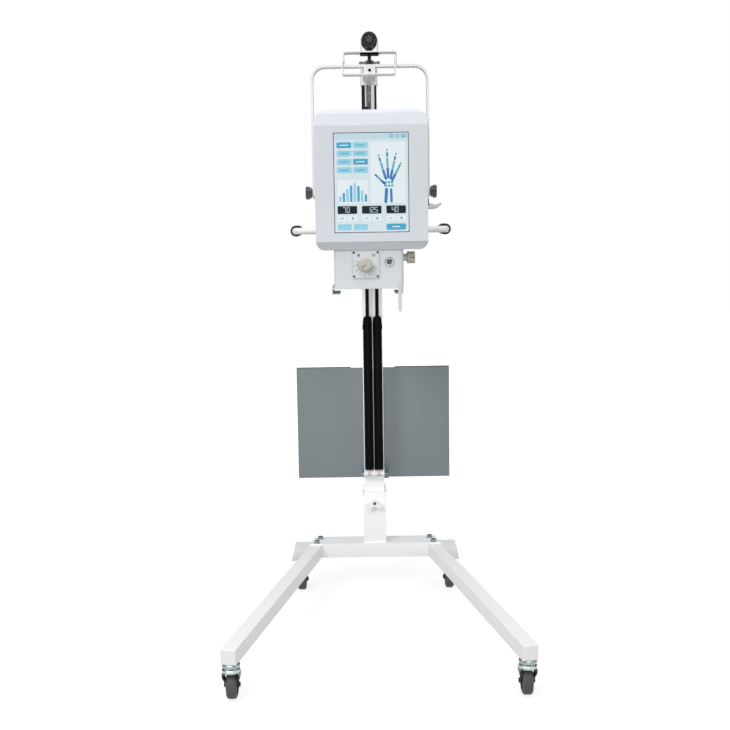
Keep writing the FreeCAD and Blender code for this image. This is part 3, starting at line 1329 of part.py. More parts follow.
# Collimator: a box under the head whose knobs set the size of the beam
def make_collimator():
    half = v.collimator_depth / 2
    front = beam.y - half
    right = beam.x + v.collimator_width / 2
    solid = block("collimator_solid", "collimator_width", "collimator_depth", "collimator_height",
                  at(beam.x, beam.y, beam.z), (0.5, 0.5, 1))
    solid = soften("collimator_soft", solid, v.collimator_round, runs_along("z"))
    room = block("collimator_room", "collimator_width - 2 * collimator_wall",
                 "collimator_depth - 2 * collimator_wall", "collimator_height",
                 at(beam.x, beam.y, beam.z - v.collimator_wall), (0.5, 0.5, 1))
    boss = rod("side_boss", "side_boss_radius", "side_boss_length", at(right, v.side_knob_y, v.side_knob_height), "x")
    holes = [
        rod("front_shaft_hole", "shaft_radius + run_fit", "2 * collimator_wall",
            at(v.dial_x, front - 1, v.dial_height), "y"),
        rod("side_shaft_hole", "shaft_radius + run_fit", "side_boss_length + 2 * collimator_wall",
            at(right - 1.5 * v.collimator_wall, v.side_knob_y, v.side_knob_height), "x"),
        rod("lamp_hole", "lamp_radius + run_fit", "2 * collimator_wall", at(v.lamp_x, front - 1, v.lamp_height), "y")]
    node(cut("collimator_cut", fuse("collimator_fuse", solid, boss), room, *holes), "collimator_housing")
    dial = block("dial_block", "dial_side", "dial_thickness", "dial_side", at(v.dial_x, front, v.dial_height),
                 (0.5, 1, 0.5))
    dial = soften("dial_soft", dial, v.dial_thickness, runs_along("y"))
    dial_hole = rod("dial_hole", "shaft_radius + run_fit", "2 * dial_thickness",
                    at(v.dial_x, front - 1.5 * v.dial_thickness, v.dial_height), "y")
    node(cut("dial_cut", dial, dial_hole), "dial_plate")


def make_knob(word, place, gap):
    """A fluted knob with its shaft. Its place is where the shaft leaves the wall."""
    body = turned("knob_" + word, [
        ("0", "0"), ("knob_radius - 1", "0"), ("knob_radius", "1"), ("knob_radius", "knob_length - 2"),
        ("knob_radius - 2", "knob_length"), ("0", "knob_length")])
    mark = sketch(body, "XY_Plane", "flute")
    draw_circle(mark, "knob_flute", "knob_radius + knob_flute * 0.4", "0")
    flute = pocket(body, mark, "knob_length + 1", "flute_pocket", flip=True)
    ring = body.newObject("PartDesign::PolarPattern", "flutes")
    ring.Originals = [flute]
    ring.Axis = (mark, ["N_Axis"])
    ring.Angle = 360
    ring.setExpression("Occurrences", refer("knob_flutes"))
    body.Tip = ring
    body.Placement = place.multiply(at(0, 0, gap))
    shaft = doc.addObject("Part::Cylinder", "knob_shaft_" + word)
    bind(shaft, Radius="shaft_radius")
    shaft.Height = v.shaft_reach + gap + 1
    shaft.Placement = place.multiply(at(0, 0, -v.shaft_reach))
    node(fuse("knob_fuse_" + word, body, shaft), "aperture_knob_" + word)


def make_controls():
    front = beam.y - v.collimator_depth / 2
    right = beam.x + v.collimator_width / 2
    make_knob("front", at(v.dial_x, front, v.dial_height, Rotation(Vector(1, 0, 0), 90)),
              v.dial_thickness + v.seat_gap)
    make_knob("side", at(right, v.side_knob_y, v.side_knob_height, ALONG["x"]), v.side_boss_length + v.seat_gap)
    spot = at(v.lamp_x, front, v.lamp_height, Rotation(Vector(1, 0, 0), 90))
    bezel = turned("bezel", [
        ("lamp_radius + run_fit", "0"), ("bezel_radius", "0"), ("bezel_radius", "bezel_height - 1"),
        ("bezel_radius - 1", "bezel_height"), ("lamp_radius + run_fit", "bezel_height")])
    node(bezel, "button_bezel", spot)
    button = turned("lamp_button", [
        ("0", "-lamp_depth + lamp_proud"), ("lamp_radius", "-lamp_depth + lamp_proud"),
        ("lamp_radius", "lamp_proud - 1"), ("lamp_radius - 1", "lamp_proud"), ("0", "lamp_proud")])
    node(button, "light_button", spot)


def make_beam_exit():
    """The plate under the collimator, with its clear window, accessory rails and tape."""
    low = v.head_bottom - v.collimator_height
    body = new_body("plate_body")
    outline = sketch(body, "XY_Plane", "outline")
    draw(outline, rectangle("plate_left", "-collimator_depth / 2", "plate_right", "collimator_depth / 2"))
    draw(outline, rectangle("beam_x - window_side / 2", "-window_side / 2",
                            "beam_x + window_side / 2", "window_side / 2"))
    pad(body, outline, "plate_thickness", flip=True)
    body.Placement = at(0, beam.y, low)
    rails = [body]
    for side_name, side in SIDES:
        rail = new_body("rail_" + side_name)
        section = sketch(rail, "XZ_Plane", "section")
        edge = "plate_left" if side < 0 else "plate_right"
        step = "%+d * " % -side
        draw(section, [(edge, "0"), (edge, "-rail_height"), (edge + step + "rail_lip", "-rail_height"),
                       (edge + step + "rail_lip", "-rail_height + rail_sheet"),
                       (edge + step + "rail_sheet", "-rail_height + rail_sheet"), (edge + step + "rail_sheet", "0")])
        pad(rail, section, "rail_length", symmetric=True)
        rail.Placement = at(0, beam.y - (v.collimator_depth - v.rail_length) / 2, low - v.plate_thickness)
        rails.append(rail)
    node(fuse("plate_fuse", *rails), "accessory_rails")
    window = block("window_block", "window_side", "window_side", "plate_thickness",
                   at(beam.x, beam.y, low), (0.5, 0.5, 1))
    node(window, "beam_window")
    tape = new_body("tape_body")
    strip = sketch(tape, "XZ_Plane", "strip")
    draw(strip, [("-tape_width / 2", "tape_top"), ("-tape_width / 2", "tape_bottom + tape_point"),
                 ("0", "tape_bottom"), ("tape_width / 2", "tape_bottom + tape_point"), ("tape_width / 2", "tape_top")])
    pad(tape, strip, "tape_thickness")
    node(tape, "distance_tape", at(v.tape_x, beam.y - v.collimator_depth / 2, 0))


make_collimator()
make_controls()
make_beam_exit()

# Every object is checked before anything is written
doc.recompute()
for thing in doc.Objects:
    if "Invalid" in thing.State or "Error" in thing.State:
        raise ValueError("%s failed: %s" % (thing.Label, thing.State))
for thing in NODES:
    if thing.Shape.isNull() or not thing.Shape.isValid():
        raise ValueError(thing.Label + " has no valid shape")
os.makedirs("parts", exist_ok=True)
for thing in NODES:
    thing.Shape.exportStep("parts/%s.step" % thing.Label)
whole = Part.makeCompound([thing.Shape for thing in NODES])
print("%d nodes, box %s" % (len(NODES), whole.BoundBox))
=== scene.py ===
# %% [markdown]
# # Dressing a portable x-ray machine
# The machine is a wheeled stand with a folding mast. A yoke at the top carries the head, which
# holds the x-ray tube and a touch screen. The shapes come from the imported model, already in
# place and in metres. Blender's work is what the eye reads as real: paint, plastic, plating,
# rubber, the picture on the screen, printed scales, welds and small hardware.

# %% Load the frame
import math

import bpy
import numpy as np
from mathutils import Matrix, Vector


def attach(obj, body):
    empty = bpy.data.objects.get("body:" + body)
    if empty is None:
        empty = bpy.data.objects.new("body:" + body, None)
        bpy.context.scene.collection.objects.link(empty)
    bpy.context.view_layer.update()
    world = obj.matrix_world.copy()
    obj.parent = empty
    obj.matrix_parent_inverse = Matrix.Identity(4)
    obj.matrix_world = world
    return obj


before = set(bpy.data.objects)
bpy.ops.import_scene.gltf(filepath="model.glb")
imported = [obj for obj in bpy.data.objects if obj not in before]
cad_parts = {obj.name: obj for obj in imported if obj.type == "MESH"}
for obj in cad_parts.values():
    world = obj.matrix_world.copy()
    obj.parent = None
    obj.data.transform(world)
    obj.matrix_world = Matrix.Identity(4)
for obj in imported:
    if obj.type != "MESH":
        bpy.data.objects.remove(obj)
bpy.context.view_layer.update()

scene = bpy.context.scene
scene.view_settings.view_transform = "Standard"
MM = 0.001

# %% [markdown]
# ## Helpers for nodes
# Every finish below is a small node tree round one Principled shader. A value that is the same
# all over a finish is set on the shader's own socket. Only what changes over the surface comes
# in through a link. Colours are written as screen values, so they are turned into the linear
# values that Blender reads.


# %% Helpers for colours and node trees
def linear(red, green, blue):
    """Screen values from 0 to 255 as a linear colour: the usual power curve of 2.4 with its straight foot."""
    share = np.array([red, green, blue]) / 255
    out = np.where(share <= 0.04045, share / 12.92, ((share + 0.055) / 1.055) ** 2.4)
    return (*out.tolist(), 1.0)


def finish(name, colour, roughness, metallic=0.0, **sockets):
    """A material with one Principled shader, whose plain values are set on its own sockets."""
    made = bpy.data.materials.new(name)
    made.use_nodes = True
    shader = made.node_tree.nodes["Principled BSDF"]
    shader.inputs["Base Color"].default_value = colour
    shader.inputs["Roughness"].default_value = roughness
    shader.inputs["Metallic"].default_value = metallic
    for socket, value in sockets.items():
        shader.inputs[socket.replace("_", " ")].default_value = value
    made.diffuse_color = colour
    return made


def add_node(tree, kind, **settings):
    """A new node of one kind in a tree, with its own settings, such as an operation."""
    made = tree.nodes.new(kind)
    for key, value in settings.items():
        setattr(made, key, value)
    return made


def seen_directly(tree):
    """A socket that is 1 for camera, glossy and transmission rays and 0 for the rest: the largest of three flags."""
    path = add_node(tree, "ShaderNodeLightPath")
    seen = add_node(tree, "ShaderNodeMath", operation="MAXIMUM")
    also = add_node(tree, "ShaderNodeMath", operation="MAXIMUM")
    tree.links.new(path.outputs["Is Camera Ray"], seen.inputs[0])
    tree.links.new(path.outputs["Is Glossy Ray"], seen.inputs[1])
    tree.links.new(seen.outputs[0], also.inputs[0])
    tree.links.new(path.outputs["Is Transmission Ray"], also.inputs[1])
    return also.outputs[0]


# %% [markdown]
# ## Effects that several finishes share
# Powder coat, moulded plastic and rubber are all slightly uneven. Two node groups make that. One
# gives a fine relief and a slow change of shade, both from noise in object coordinates, so that
# the pattern stays on its piece. The other rounds sharp edges in the shading, because real
# folded and sawn edges catch a thin line of light.

# %% Node group: grain
grain = bpy.data.node_groups.new("grain", "ShaderNodeTree")
grain.interface.new_socket("Size", in_out="INPUT", socket_type="NodeSocketFloat").default_value = 800
grain.interface.new_socket("Patch", in_out="INPUT", socket_type="NodeSocketFloat").default_value = 6
grain.interface.new_socket("Relief", in_out="OUTPUT", socket_type="NodeSocketFloat")
grain.interface.new_socket("Shade", in_out="OUTPUT", socket_type="NodeSocketFloat")
incoming, outgoing = add_node(grain, "NodeGroupInput"), add_node(grain, "NodeGroupOutput")
spots = add_node(grain, "ShaderNodeTexCoord")
fine = add_node(grain, "ShaderNodeTexNoise", noise_dimensions="3D")
slow = add_node(grain, "ShaderNodeTexNoise", noise_dimensions="3D")
fine.inputs["Detail"].default_value = 2
slow.inputs["Detail"].default_value = 3
grain.links.new(spots.outputs["Object"], fine.inputs["Vector"])
grain.links.new(spots.outputs["Object"], slow.inputs["Vector"])
grain.links.new(incoming.outputs["Size"], fine.inputs["Scale"])
grain.links.new(incoming.outputs["Patch"], slow.inputs["Scale"])
grain.links.new(fine.outputs["Fac"], outgoing.inputs["Relief"])
grain.links.new(slow.outputs["Fac"], outgoing.inputs["Shade"])

# %% Node group: soft edges
soft_edges = bpy.data.node_groups.new("soft edges", "ShaderNodeTree")
soft_edges.interface.new_socket("Radius", in_out="INPUT", socket_type="NodeSocketFloat").default_value = 0.001
soft_edges.interface.new_socket("Normal", in_out="OUTPUT", socket_type="NodeSocketVector")
incoming, outgoing = add_node(soft_edges, "NodeGroupInput"), add_node(soft_edges, "NodeGroupOutput")
rounding = add_node(soft_edges, "ShaderNodeBevel", samples=4)
soft_edges.links.new(incoming.outputs["Radius"], rounding.inputs["Radius"])
soft_edges.links.new(rounding.outputs["Normal"], outgoing.inputs["Normal"])


# %% [markdown]
# ## Giving a finish its surface
# One helper joins the two groups to a finish: the slow shade mixes two near colours and moves the
# roughness a little, and the fine relief goes through a Bump node. Its strength is small, because
# powder coat and grained plastic feel smooth and only break up a highlight.


# %% Helper for a grained surface
def add_grain(made, other_colour, size=900, patch=7, relief=0.05, depth=0.0002, rough_span=0.08, edge=0.0):
    """Mix towards a second colour by the slow noise, and bump by the fine one."""
    tree = made.node_tree
    shader = tree.nodes["Principled BSDF"]
    group = add_node(tree, "ShaderNodeGroup", node_tree=grain)
    group.inputs["Size"].default_value = size
    group.inputs["Patch"].default_value = patch
    mix = add_node(tree, "ShaderNodeMix", data_type="RGBA")
    mix.inputs["A"].default_value = shader.inputs["Base Color"].default_value[:]
    mix.inputs["B"].default_value = other_colour
    tree.links.new(group.outputs["Shade"], mix.inputs["Factor"])
    tree.links.new(mix.outputs["Result"], shader.inputs["Base Color"])
    spread = add_node(tree, "ShaderNodeMapRange")
    base = shader.inputs["Roughness"].default_value
    spread.inputs["To Min"].default_value = max(base - rough_span, 0.02)
    spread.inputs["To Max"].default_value = min(base + rough_span, 1.0)
    tree.links.new(group.outputs["Shade"], spread.inputs["Value"])
    tree.links.new(spread.outputs["Result"], shader.inputs["Roughness"])
    bump = add_node(tree, "ShaderNodeBump")
    bump.inputs["Strength"].default_value = relief
    bump.inputs["Distance"].default_value = depth
    tree.links.new(group.outputs["Relief"], bump.inputs["Height"])
    tree.links.new(bump.outputs["Normal"], shader.inputs["Normal"])
    if edge:
        soft = add_node(tree, "ShaderNodeGroup", node_tree=soft_edges)
        soft.inputs["Radius"].default_value = edge
        tree.links.new(soft.outputs["Normal"], bump.inputs["Normal"])
    return made


# %% [markdown]
# ## The finishes
# The stand is sprayed with white powder coat, which is semi-gloss with a faint orange peel. The
# head is moulded in a cool light grey plastic with a fine spark-eroded grain. Plated fasteners are
# zinc with a blue-green tint, and the lifting post is polished chrome.

# %% Paints
white_paint = add_grain(finish("white_paint", linear(251, 252, 253), 0.34, Coat_Weight=0.1, Coat_Roughness=0.15),
                        linear(247, 248, 250), size=700, relief=0.12, edge=0.0012)
pale_paint = add_grain(finish("pale_paint", linear(243, 244, 246), 0.35, Coat_Weight=0.1, Coat_Roughness=0.15),
                       linear(236, 238, 240), size=700, relief=0.12, edge=0.0006)
grey_paint = add_grain(finish("grey_paint", linear(123, 132, 136), 0.45, Specular_IOR_Level=0.3),
                       linear(114, 123, 127), size=1200, patch=3, relief=0.10, edge=0.0005)
black_paint = add_grain(finish("black_paint", linear(13, 13, 15), 0.36, Specular_IOR_Level=0.03),
                        linear(11, 11, 13), size=900, relief=0.08)

# %% Plastics and rubbers
head_plastic = add_grain(finish("head_plastic", linear(222, 227, 232), 0.5, Specular_IOR_Level=0.28),
                         linear(217, 222, 228), size=1800, patch=5, relief=0.18)
housing_paint = add_grain(finish("housing_paint", linear(216, 220, 222), 0.40),
                          linear(210, 215, 217), size=1300, patch=6, relief=0.12, edge=0.0008)
black_plastic = add_grain(finish("black_plastic", linear(30, 30, 32), 0.45),
                          linear(38, 38, 40), size=1500, patch=20, relief=0.25, edge=0.0005)
# The star knobs are black plastic; the mid-grey patches mixed into their colour are painted glints on the lobes.
knob_plastic_painted_glints = add_grain(finish("knob_plastic_painted_glints", linear(96, 96, 98), 0.3, Coat_Weight=0.4, Coat_Roughness=0.15),
                         linear(22, 22, 24), size=1500, patch=220, relief=0.25, edge=0.0006)
beige_plastic = add_grain(finish("beige_plastic", linear(196, 192, 180), 0.42),
                          linear(186, 182, 170), size=1500, patch=30, relief=0.2, edge=0.0006)
white_plastic = add_grain(finish("white_plastic", linear(226, 228, 227), 0.32),
                          linear(219, 221, 220), size=1200, patch=12, relief=0.08, edge=0.0004)
tape_steel = add_grain(finish("tape_steel", linear(206, 209, 211), 0.4),
                       linear(198, 202, 204), size=1200, patch=40, relief=0.08)
slate_plastic = add_grain(finish("slate_plastic", linear(98, 109, 117), 0.34),
                          linear(84, 95, 104), size=1500, patch=60, relief=0.15, edge=0.0005)
grip_rubber = add_grain(finish("grip_rubber", linear(24, 24, 25), 0.62),
                        linear(34, 34, 35), size=2200, patch=30, relief=0.4, edge=0.0005)
wheel_rubber = add_grain(finish("wheel_rubber", linear(86, 86, 89), 0.55),
                         linear(70, 70, 73), size=1500, patch=25, relief=0.35, edge=0.0008)


# %% [markdown]
# ## Metals
# Zinc plate is bright but cloudy, with a blue-green cast from its passivation. Chrome has hardly
# any grain at all, only a very faint fine relief. Both are metals, so their colour is the
# colour of their reflection.

# %% Metals
zinc = add_grain(finish("zinc", linear(186, 195, 197), 0.28, metallic=1.0), linear(132, 146, 151),
                 size=900, patch=120, relief=0.25, rough_span=0.1, edge=0.0004)
chrome = add_grain(finish("chrome", linear(205, 207, 209), 0.09, metallic=1.0), linear(190, 193, 196),
                   size=500, patch=10, relief=0.02, rough_span=0.03)
tank_metal = add_grain(finish("tank_metal", linear(140, 144, 146), 0.5, metallic=1.0), linear(128, 132, 134))
clear_window = finish("clear_window", linear(235, 240, 242), 0.06, Transmission_Weight=0.85, IOR=1.49)
dark_zinc = add_grain(finish("dark_zinc", linear(128, 134, 136), 0.34, metallic=1.0), linear(70, 76, 79),
                      size=900, patch=160, relief=0.25, rough_span=0.1, edge=0.0004)
screen_glass = add_grain(finish("screen_glass", linear(44, 50, 54), 0.12, Coat_Weight=0.5, Coat_Roughness=0.04),
                         linear(40, 46, 50), size=1500, patch=4, relief=0.01, rough_span=0.02)

# %% [markdown]
# ## Two finishes on one piece
# Some pieces are one mesh but two things to the eye. A caster's fork is near black on its arms, a painted
# reflection of the dark that the plated arms pick up, and bright plated metal on its crown; the lamp button
# has a chrome rim round a slate cap, and the clamp's screw is black with a plated tommy bar. The change-over is worked
# out from the place on the piece: the distance from a point, a line or a plane is compared with a radius, and the
# answer mixes the colour and Metallic.


# %% Helper for a second finish
def second_finish(made, colour, metallic, centre, radius, across=(1, 1, 1)):
    """The second colour holds where the length of (place - centre) times across is more than the radius."""
    tree = made.node_tree
    shader = tree.nodes["Principled BSDF"]
    offset = add_node(tree, "ShaderNodeVectorMath", operation="SUBTRACT")
    flat = add_node(tree, "ShaderNodeVectorMath", operation="MULTIPLY")
    reach = add_node(tree, "ShaderNodeVectorMath", operation="LENGTH")
    outside = add_node(tree, "ShaderNodeMath", operation="GREATER_THAN")
    offset.inputs[1].default_value = [value * MM for value in centre]
    flat.inputs[1].default_value = across
    outside.inputs[1].default_value = radius * MM
    tree.links.new(add_node(tree, "ShaderNodeTexCoord").outputs["Object"], offset.inputs[0])
    tree.links.new(offset.outputs["Vector"], flat.inputs[0])
    tree.links.new(flat.outputs["Vector"], reach.inputs[0])
    tree.links.new(reach.outputs["Value"], outside.inputs[0])
    mix = add_node(tree, "ShaderNodeMix", data_type="RGBA")
    mix.inputs["B"].default_value = colour
    tree.links.new(shader.inputs["Base Color"].links[0].from_socket, mix.inputs["A"])
    tree.links.new(outside.outputs["Value"], mix.inputs["Factor"])
    tree.links.new(mix.outputs["Result"], shader.inputs["Base Color"])
    own = shader.inputs["Metallic"].default_value
    if own != metallic:
        change = add_node(tree, "ShaderNodeMapRange")
        change.inputs["To Min"].default_value = own
        change.inputs["To Max"].default_value = metallic
        tree.links.new(outside.outputs["Value"], change.inputs["Value"])
        tree.links.new(change.outputs["Result"], shader.inputs["Metallic"])
    return made


# %% Pieces with two finishes
UP, SIDEWAYS, ROUND_Y = (0, 0, 1), (1, 0, 0), (1, 0, 1)
# a level plane is a change-over at FAR from a centre that lies FAR below it, or FAR above it
BRIGHT, FAR = linear(196, 205, 207), 1000
crown_z, tabs_z, hook_x, shank_x = 66.6, 351, 145, 7
button_axis, button_radius = (42.1, 0, 960), 7.7
wing_axis, bolt_radius = (0, 0, 250), 4.6
clip_axis, block_radius = (0, 0, 1481), 9.6
# The fork arms' near black is a painted reflection of the dark that plated arms pick up; above crown_z the crown is
# plated metal.
fork_steel = second_finish(add_grain(finish("fork_steel", linear(30, 30, 32), 0.34), linear(44, 44, 47), patch=160),
                           BRIGHT, 1.0, (0, 0, crown_z - FAR), FAR, UP)
spring_paint = second_finish(add_grain(finish("spring_paint", linear(13, 13, 15), 0.32, Specular_IOR_Level=0.03),
                                       linear(11, 11, 13), size=900, relief=0.05),
                             linear(196, 188, 188), 0.0, (0, 0, tabs_z + FAR), FAR, UP)
button_cap = second_finish(add_grain(finish("button_cap", linear(84, 92, 100), 0.28), linear(70, 79, 88),
                                     size=1500, patch=60, relief=0.1, edge=0.0004),
                           linear(236, 240, 243), 1.0, button_axis, button_radius, ROUND_Y)
wing_metal = second_finish(add_grain(finish("wing_metal", linear(96, 102, 104), 0.3, metallic=1.0),
                                     linear(40, 44, 46), patch=260, relief=0.2, edge=0.0005),
                           linear(238, 239, 241), 0.0, wing_axis, bolt_radius, ROUND_Y)
screw_steel = second_finish(add_grain(finish("screw_steel", linear(18, 18, 20), 0.35), linear(28, 28, 30), patch=90),
                            linear(150, 156, 158), 1.0, (0, 0, 0), shank_x, SIDEWAYS)
# The clip is near black within block_radius of clip_axis: painted shade in the gap under the hand switch. Outside it
# the clip is bright plated steel.
clip_steel_painted_shade = second_finish(add_grain(finish("clip_steel_painted_shade", linear(20, 20, 22), 0.4), linear(30, 30, 32), patch=60),
                            linear(176, 179, 182), 1.0, clip_axis, block_radius, ROUND_Y)
hook_plastic = second_finish(add_grain(finish("hook_plastic", linear(20, 20, 22), 0.4), linear(28, 28, 30), patch=60),
                             linear(206, 208, 208), 0.0, (0, 0, 0), hook_x, SIDEWAYS)
cap_metal = add_grain(finish("cap_metal", linear(120, 120, 122), 0.4, metallic=0.6), linear(22, 22, 24),
                      size=900, patch=320, relief=0.3, rough_span=0.15)
print("finishes with a change-over:", [made.name for made in (fork_steel, spring_paint, button_cap, wing_metal,
                                                              screw_steel, clip_steel_painted_shade, hook_plastic)])

# %% [markdown]
# ## Which piece gets which finish
# A node keeps its mesh, and only its material slots change. The table below reads like a parts
# list: one finish, and the pieces that leave the shop with it.

# %% Put the finishes on the nodes
worn_by = {
    white_paint: ["crossbar", "leg_left", "leg_right", "leg_end_caps", "lower_column", "mast_tube",
                  "push_bar", "arm", "spring_crosshead", "spring_bracket"],
    pale_paint: ["outriggers", "bail", "hoop_lower", "hoop_upper", "bail_saddle"],
    grey_paint: ["detector_pocket"],
    zinc: ["leg_bolts", "pivot_pin", "caster_seats", "pocket_screws", "button_bezel"],
    dark_zinc: ["spring_anchor_bolt"],
    wing_metal: ["wing_bolt"],
    screw_steel: ["clamp_screw"],
    clip_steel_painted_shade: ["switch_clip"],
    chrome: ["chrome_post"],
    spring_paint: ["gas_spring_left", "gas_spring_right"],
    black_paint: ["spring_rods", "clamp_nut_plate"],
    fork_steel: ["caster_fork_front_left", "caster_fork_front_right", "caster_fork_rear_left",
                 "caster_fork_rear_right"],
    head_plastic: ["head_front_shell", "head_rear_shell"],
    housing_paint: ["collimator_housing", "accessory_rails", "dial_plate"],
    black_plastic: ["hand_switch", "mast_foot"],
    hook_plastic: ["cable_hook"],
    knob_plastic_painted_glints: ["star_knob_left", "star_knob_right"],
    beige_plastic: ["aperture_knob_front", "aperture_knob_side"],
    white_plastic: ["spring_spacers", "mast_bush"],
    tape_steel: ["distance_tape"],
    slate_plastic: ["battery_pack"],
    button_cap: ["light_button"],
    cap_metal: ["switch_button"],
    grip_rubber: ["push_grips"],
    wheel_rubber: ["caster_wheel_front_left", "caster_wheel_front_right", "caster_wheel_rear_left",
                   "caster_wheel_rear_right"],
    tank_metal: ["tube_head"],
    clear_window: ["beam_window"],
    screen_glass: ["display_panel"],
}
for material, names in worn_by.items():
    for name in names:
        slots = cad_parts[name].data.materials
        slots.clear()
        slots.append(material)
dressed = [name for names in worn_by.values() for name in names]
print("nodes with a finish:", len(dressed), "left over:", sorted(set(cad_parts) - set(dressed)))


# %% [markdown]
# ## Surfaces from arrays
# New pieces are worked out as whole arrays of points. The first helper turns grids of points
# into one mesh. Where a grid closes on itself, its last row or column joins its first, and an
# open tube gets a flat face at each end. Corners sharper than 35 degrees stay crisp.


# %% Helper for grids
def grid_mesh(name, grids, closed_rows=False, closed_columns=False, capped=False, material=None):
    """A mesh of quads over arrays of rows by columns by three. Each quad joins neighbours in both directions."""
    grids = [grids] if isinstance(grids, np.ndarray) else grids
    faces, start = [], 0
    for points in grids:
        rows, columns = points.shape[:2]
        top = np.arange(rows if closed_rows else rows - 1)
        left = np.arange(columns if closed_columns else columns - 1)
        down, across = np.meshgrid(top, left, indexing="ij")
        below, beside = (down + 1) % rows, (across + 1) % columns
        quads = np.stack([down * columns + across, down * columns + beside, below * columns + beside,
                          below * columns + across], axis=-1).reshape(-1, 4)
        faces += (quads + start).tolist()
        if capped:
            faces += [list(range(start + columns - 1, start - 1, -1)),
                      list(range(start + (rows - 1) * columns, start + rows * columns))]
        start += rows * columns
    mesh = bpy.data.meshes.new(name)
    mesh.from_pydata(np.concatenate([points.reshape(-1, 3) for points in grids]).tolist(), [], faces)
    mesh.polygons.foreach_set("use_smooth", np.full(len(mesh.polygons), True))
    mesh.set_sharp_from_angle(angle=math.radians(35))
    if material:
        mesh.materials.append(material)
    made = bpy.data.objects.new(name, mesh)
    scene.collection.objects.link(made)
    return made


# %% Helpers for turned and swept surfaces
def frame_of(axis):
    """Two unit vectors at right angles to an axis, and the axis itself: cross products with a helper vector."""
    axis = np.asarray(axis, float) / np.linalg.norm(axis, axis=-1, keepdims=True)
    helper = np.where(np.abs(axis[..., 2:]) > 0.9, [1.0, 0.0, 0.0], [0.0, 0.0, 1.0])
    first = np.cross(helper, axis)
    first /= np.linalg.norm(first, axis=-1, keepdims=True)
    return first, np.cross(axis, first), axis


def lathe(profile, place, axis, around=24):
    """A turned surface: place + radius (cos a, sin a) in the plane across the axis + height along it."""
    profile = np.asarray(profile, float)
    first, second, axis = frame_of(axis)
    angle = np.linspace(0, 2 * math.pi, around, endpoint=False)[None, :, None]
    ring = np.cos(angle) * first + np.sin(angle) * second
    return (np.asarray(place, float) + profile[:, :1, None] * ring + profile[:, 1:, None] * axis) * MM


def tube(path, radius, around=12, closed=False):
    """A circle carried along a path. Its plane is at right angles to the path's central difference at each point."""
    path = np.asarray(path, float)
    run = np.roll(path, -1, 0) - np.roll(path, 1, 0) if closed else np.gradient(path, axis=0)
    first, second, run = frame_of(run)
    angle = np.linspace(0, 2 * math.pi, around, endpoint=False)[None, :, None]
    ring = np.cos(angle) * first[:, None] + np.sin(angle) * second[:, None]
    return (path[:, None] + np.broadcast_to(radius, len(path))[:, None, None] * ring) * MM


# %% [markdown]
# ## Flat shapes
# The screen's picture, the printed scale and the pointer lines are thin flat shapes on a face.
# Image textures would do this too, but shapes stay sharp at any distance. Each shape is an
# outline with a layer number, which lifts it a few hundredths of a millimetre, and an ink. The
# inks go into a colour attribute, so that one material shows them all.


# %% Helpers for flat shapes
def box_shape(x0, z0, x1, z1, corner=1.0, steps=5):
    """A rectangle with round corners: four quarter circles, joined by straight sides."""
    turn = np.linspace(0, math.pi / 2, steps) + np.arange(4)[:, None] * math.pi / 2
    centres = np.array([(x1 - corner, z1 - corner), (x0 + corner, z1 - corner), (x0 + corner, z0 + corner),
                        (x1 - corner, z0 + corner)])
    return (centres[:, None] + corner * np.stack([np.cos(turn), np.sin(turn)], axis=-1)).reshape(-1, 2)


def bar_shape(start, end, radius, steps=6):
    """A bar with round ends: a half circle round its end, then the same half circle turned over round its start."""
    start, end = np.array(start, float), np.array(end, float)
    lean = math.atan2(end[1] - start[1], end[0] - start[0])
    turn = np.linspace(-math.pi / 2, math.pi / 2, steps) + lean
    half = radius * np.stack([np.cos(turn), np.sin(turn)], axis=-1)
    return np.concatenate([end + half, start - half])


STROKES = {"a": ((0, 2), (1, 2)), "b": ((1, 1), (1, 2)), "c": ((1, 0), (1, 1)), "d": ((0, 0), (1, 0)),
           "e": ((0, 0), (0, 1)), "f": ((0, 1), (0, 2)), "g": ((0, 1), (1, 1))}
FIGURES = {"0": "abcdef", "1": "bc", "2": "abged", "3": "abgcd", "4": "fgbc", "5": "afgcd", "6": "afgedc",
           "7": "abc", "8": "abcdefg", "9": "abcdfg"}


def figure_shapes(number, x, z, height, layer, ink):
    """Figures of up to seven strokes: each stroke is a bar between two corners of a grid one wide and two high."""
    half = height / 2
    return [(bar_shape((x + 1.5 * half * place + half * a[0], z + half * a[1]),
                       (x + 1.5 * half * place + half * b[0], z + half * b[1]), height * 0.055), layer, ink)
            for place, figure in enumerate(number) for a, b in (STROKES[stroke] for stroke in FIGURES[figure])]


def flat_mesh(name, shapes, origin, material, right=(1, 0, 0), up=(0, 0, 1), step=0.05):
    """Outlines on a plane: origin + x right + z up, and each layer lifted along the plane's outward normal."""
    right, up = np.array(right, float), np.array(up, float)
    counts = [len(outline) for outline, layer, ink in shapes]
    flat = np.concatenate([outline for outline, layer, ink in shapes])
    lift = np.repeat([layer * step for outline, layer, ink in shapes], counts)
    points = np.array(origin) + flat[:, :1] * right + flat[:, 1:] * up + lift[:, None] * np.cross(right, up)
    ends = np.cumsum(counts)
    mesh = bpy.data.meshes.new(name)
    mesh.from_pydata((points * MM).tolist(), [], [list(range(end - count, end)) for end, count in zip(ends, counts)])
    inks = mesh.color_attributes.new(name="ink", type="FLOAT_COLOR", domain="CORNER")
    inks.data.foreach_set("color", np.repeat([linear(*ink) for outline, layer, ink in shapes], counts, axis=0).ravel())
    mesh.materials.append(material)
    made = bpy.data.objects.new(name, mesh)
    scene.collection.objects.link(made)
    return made


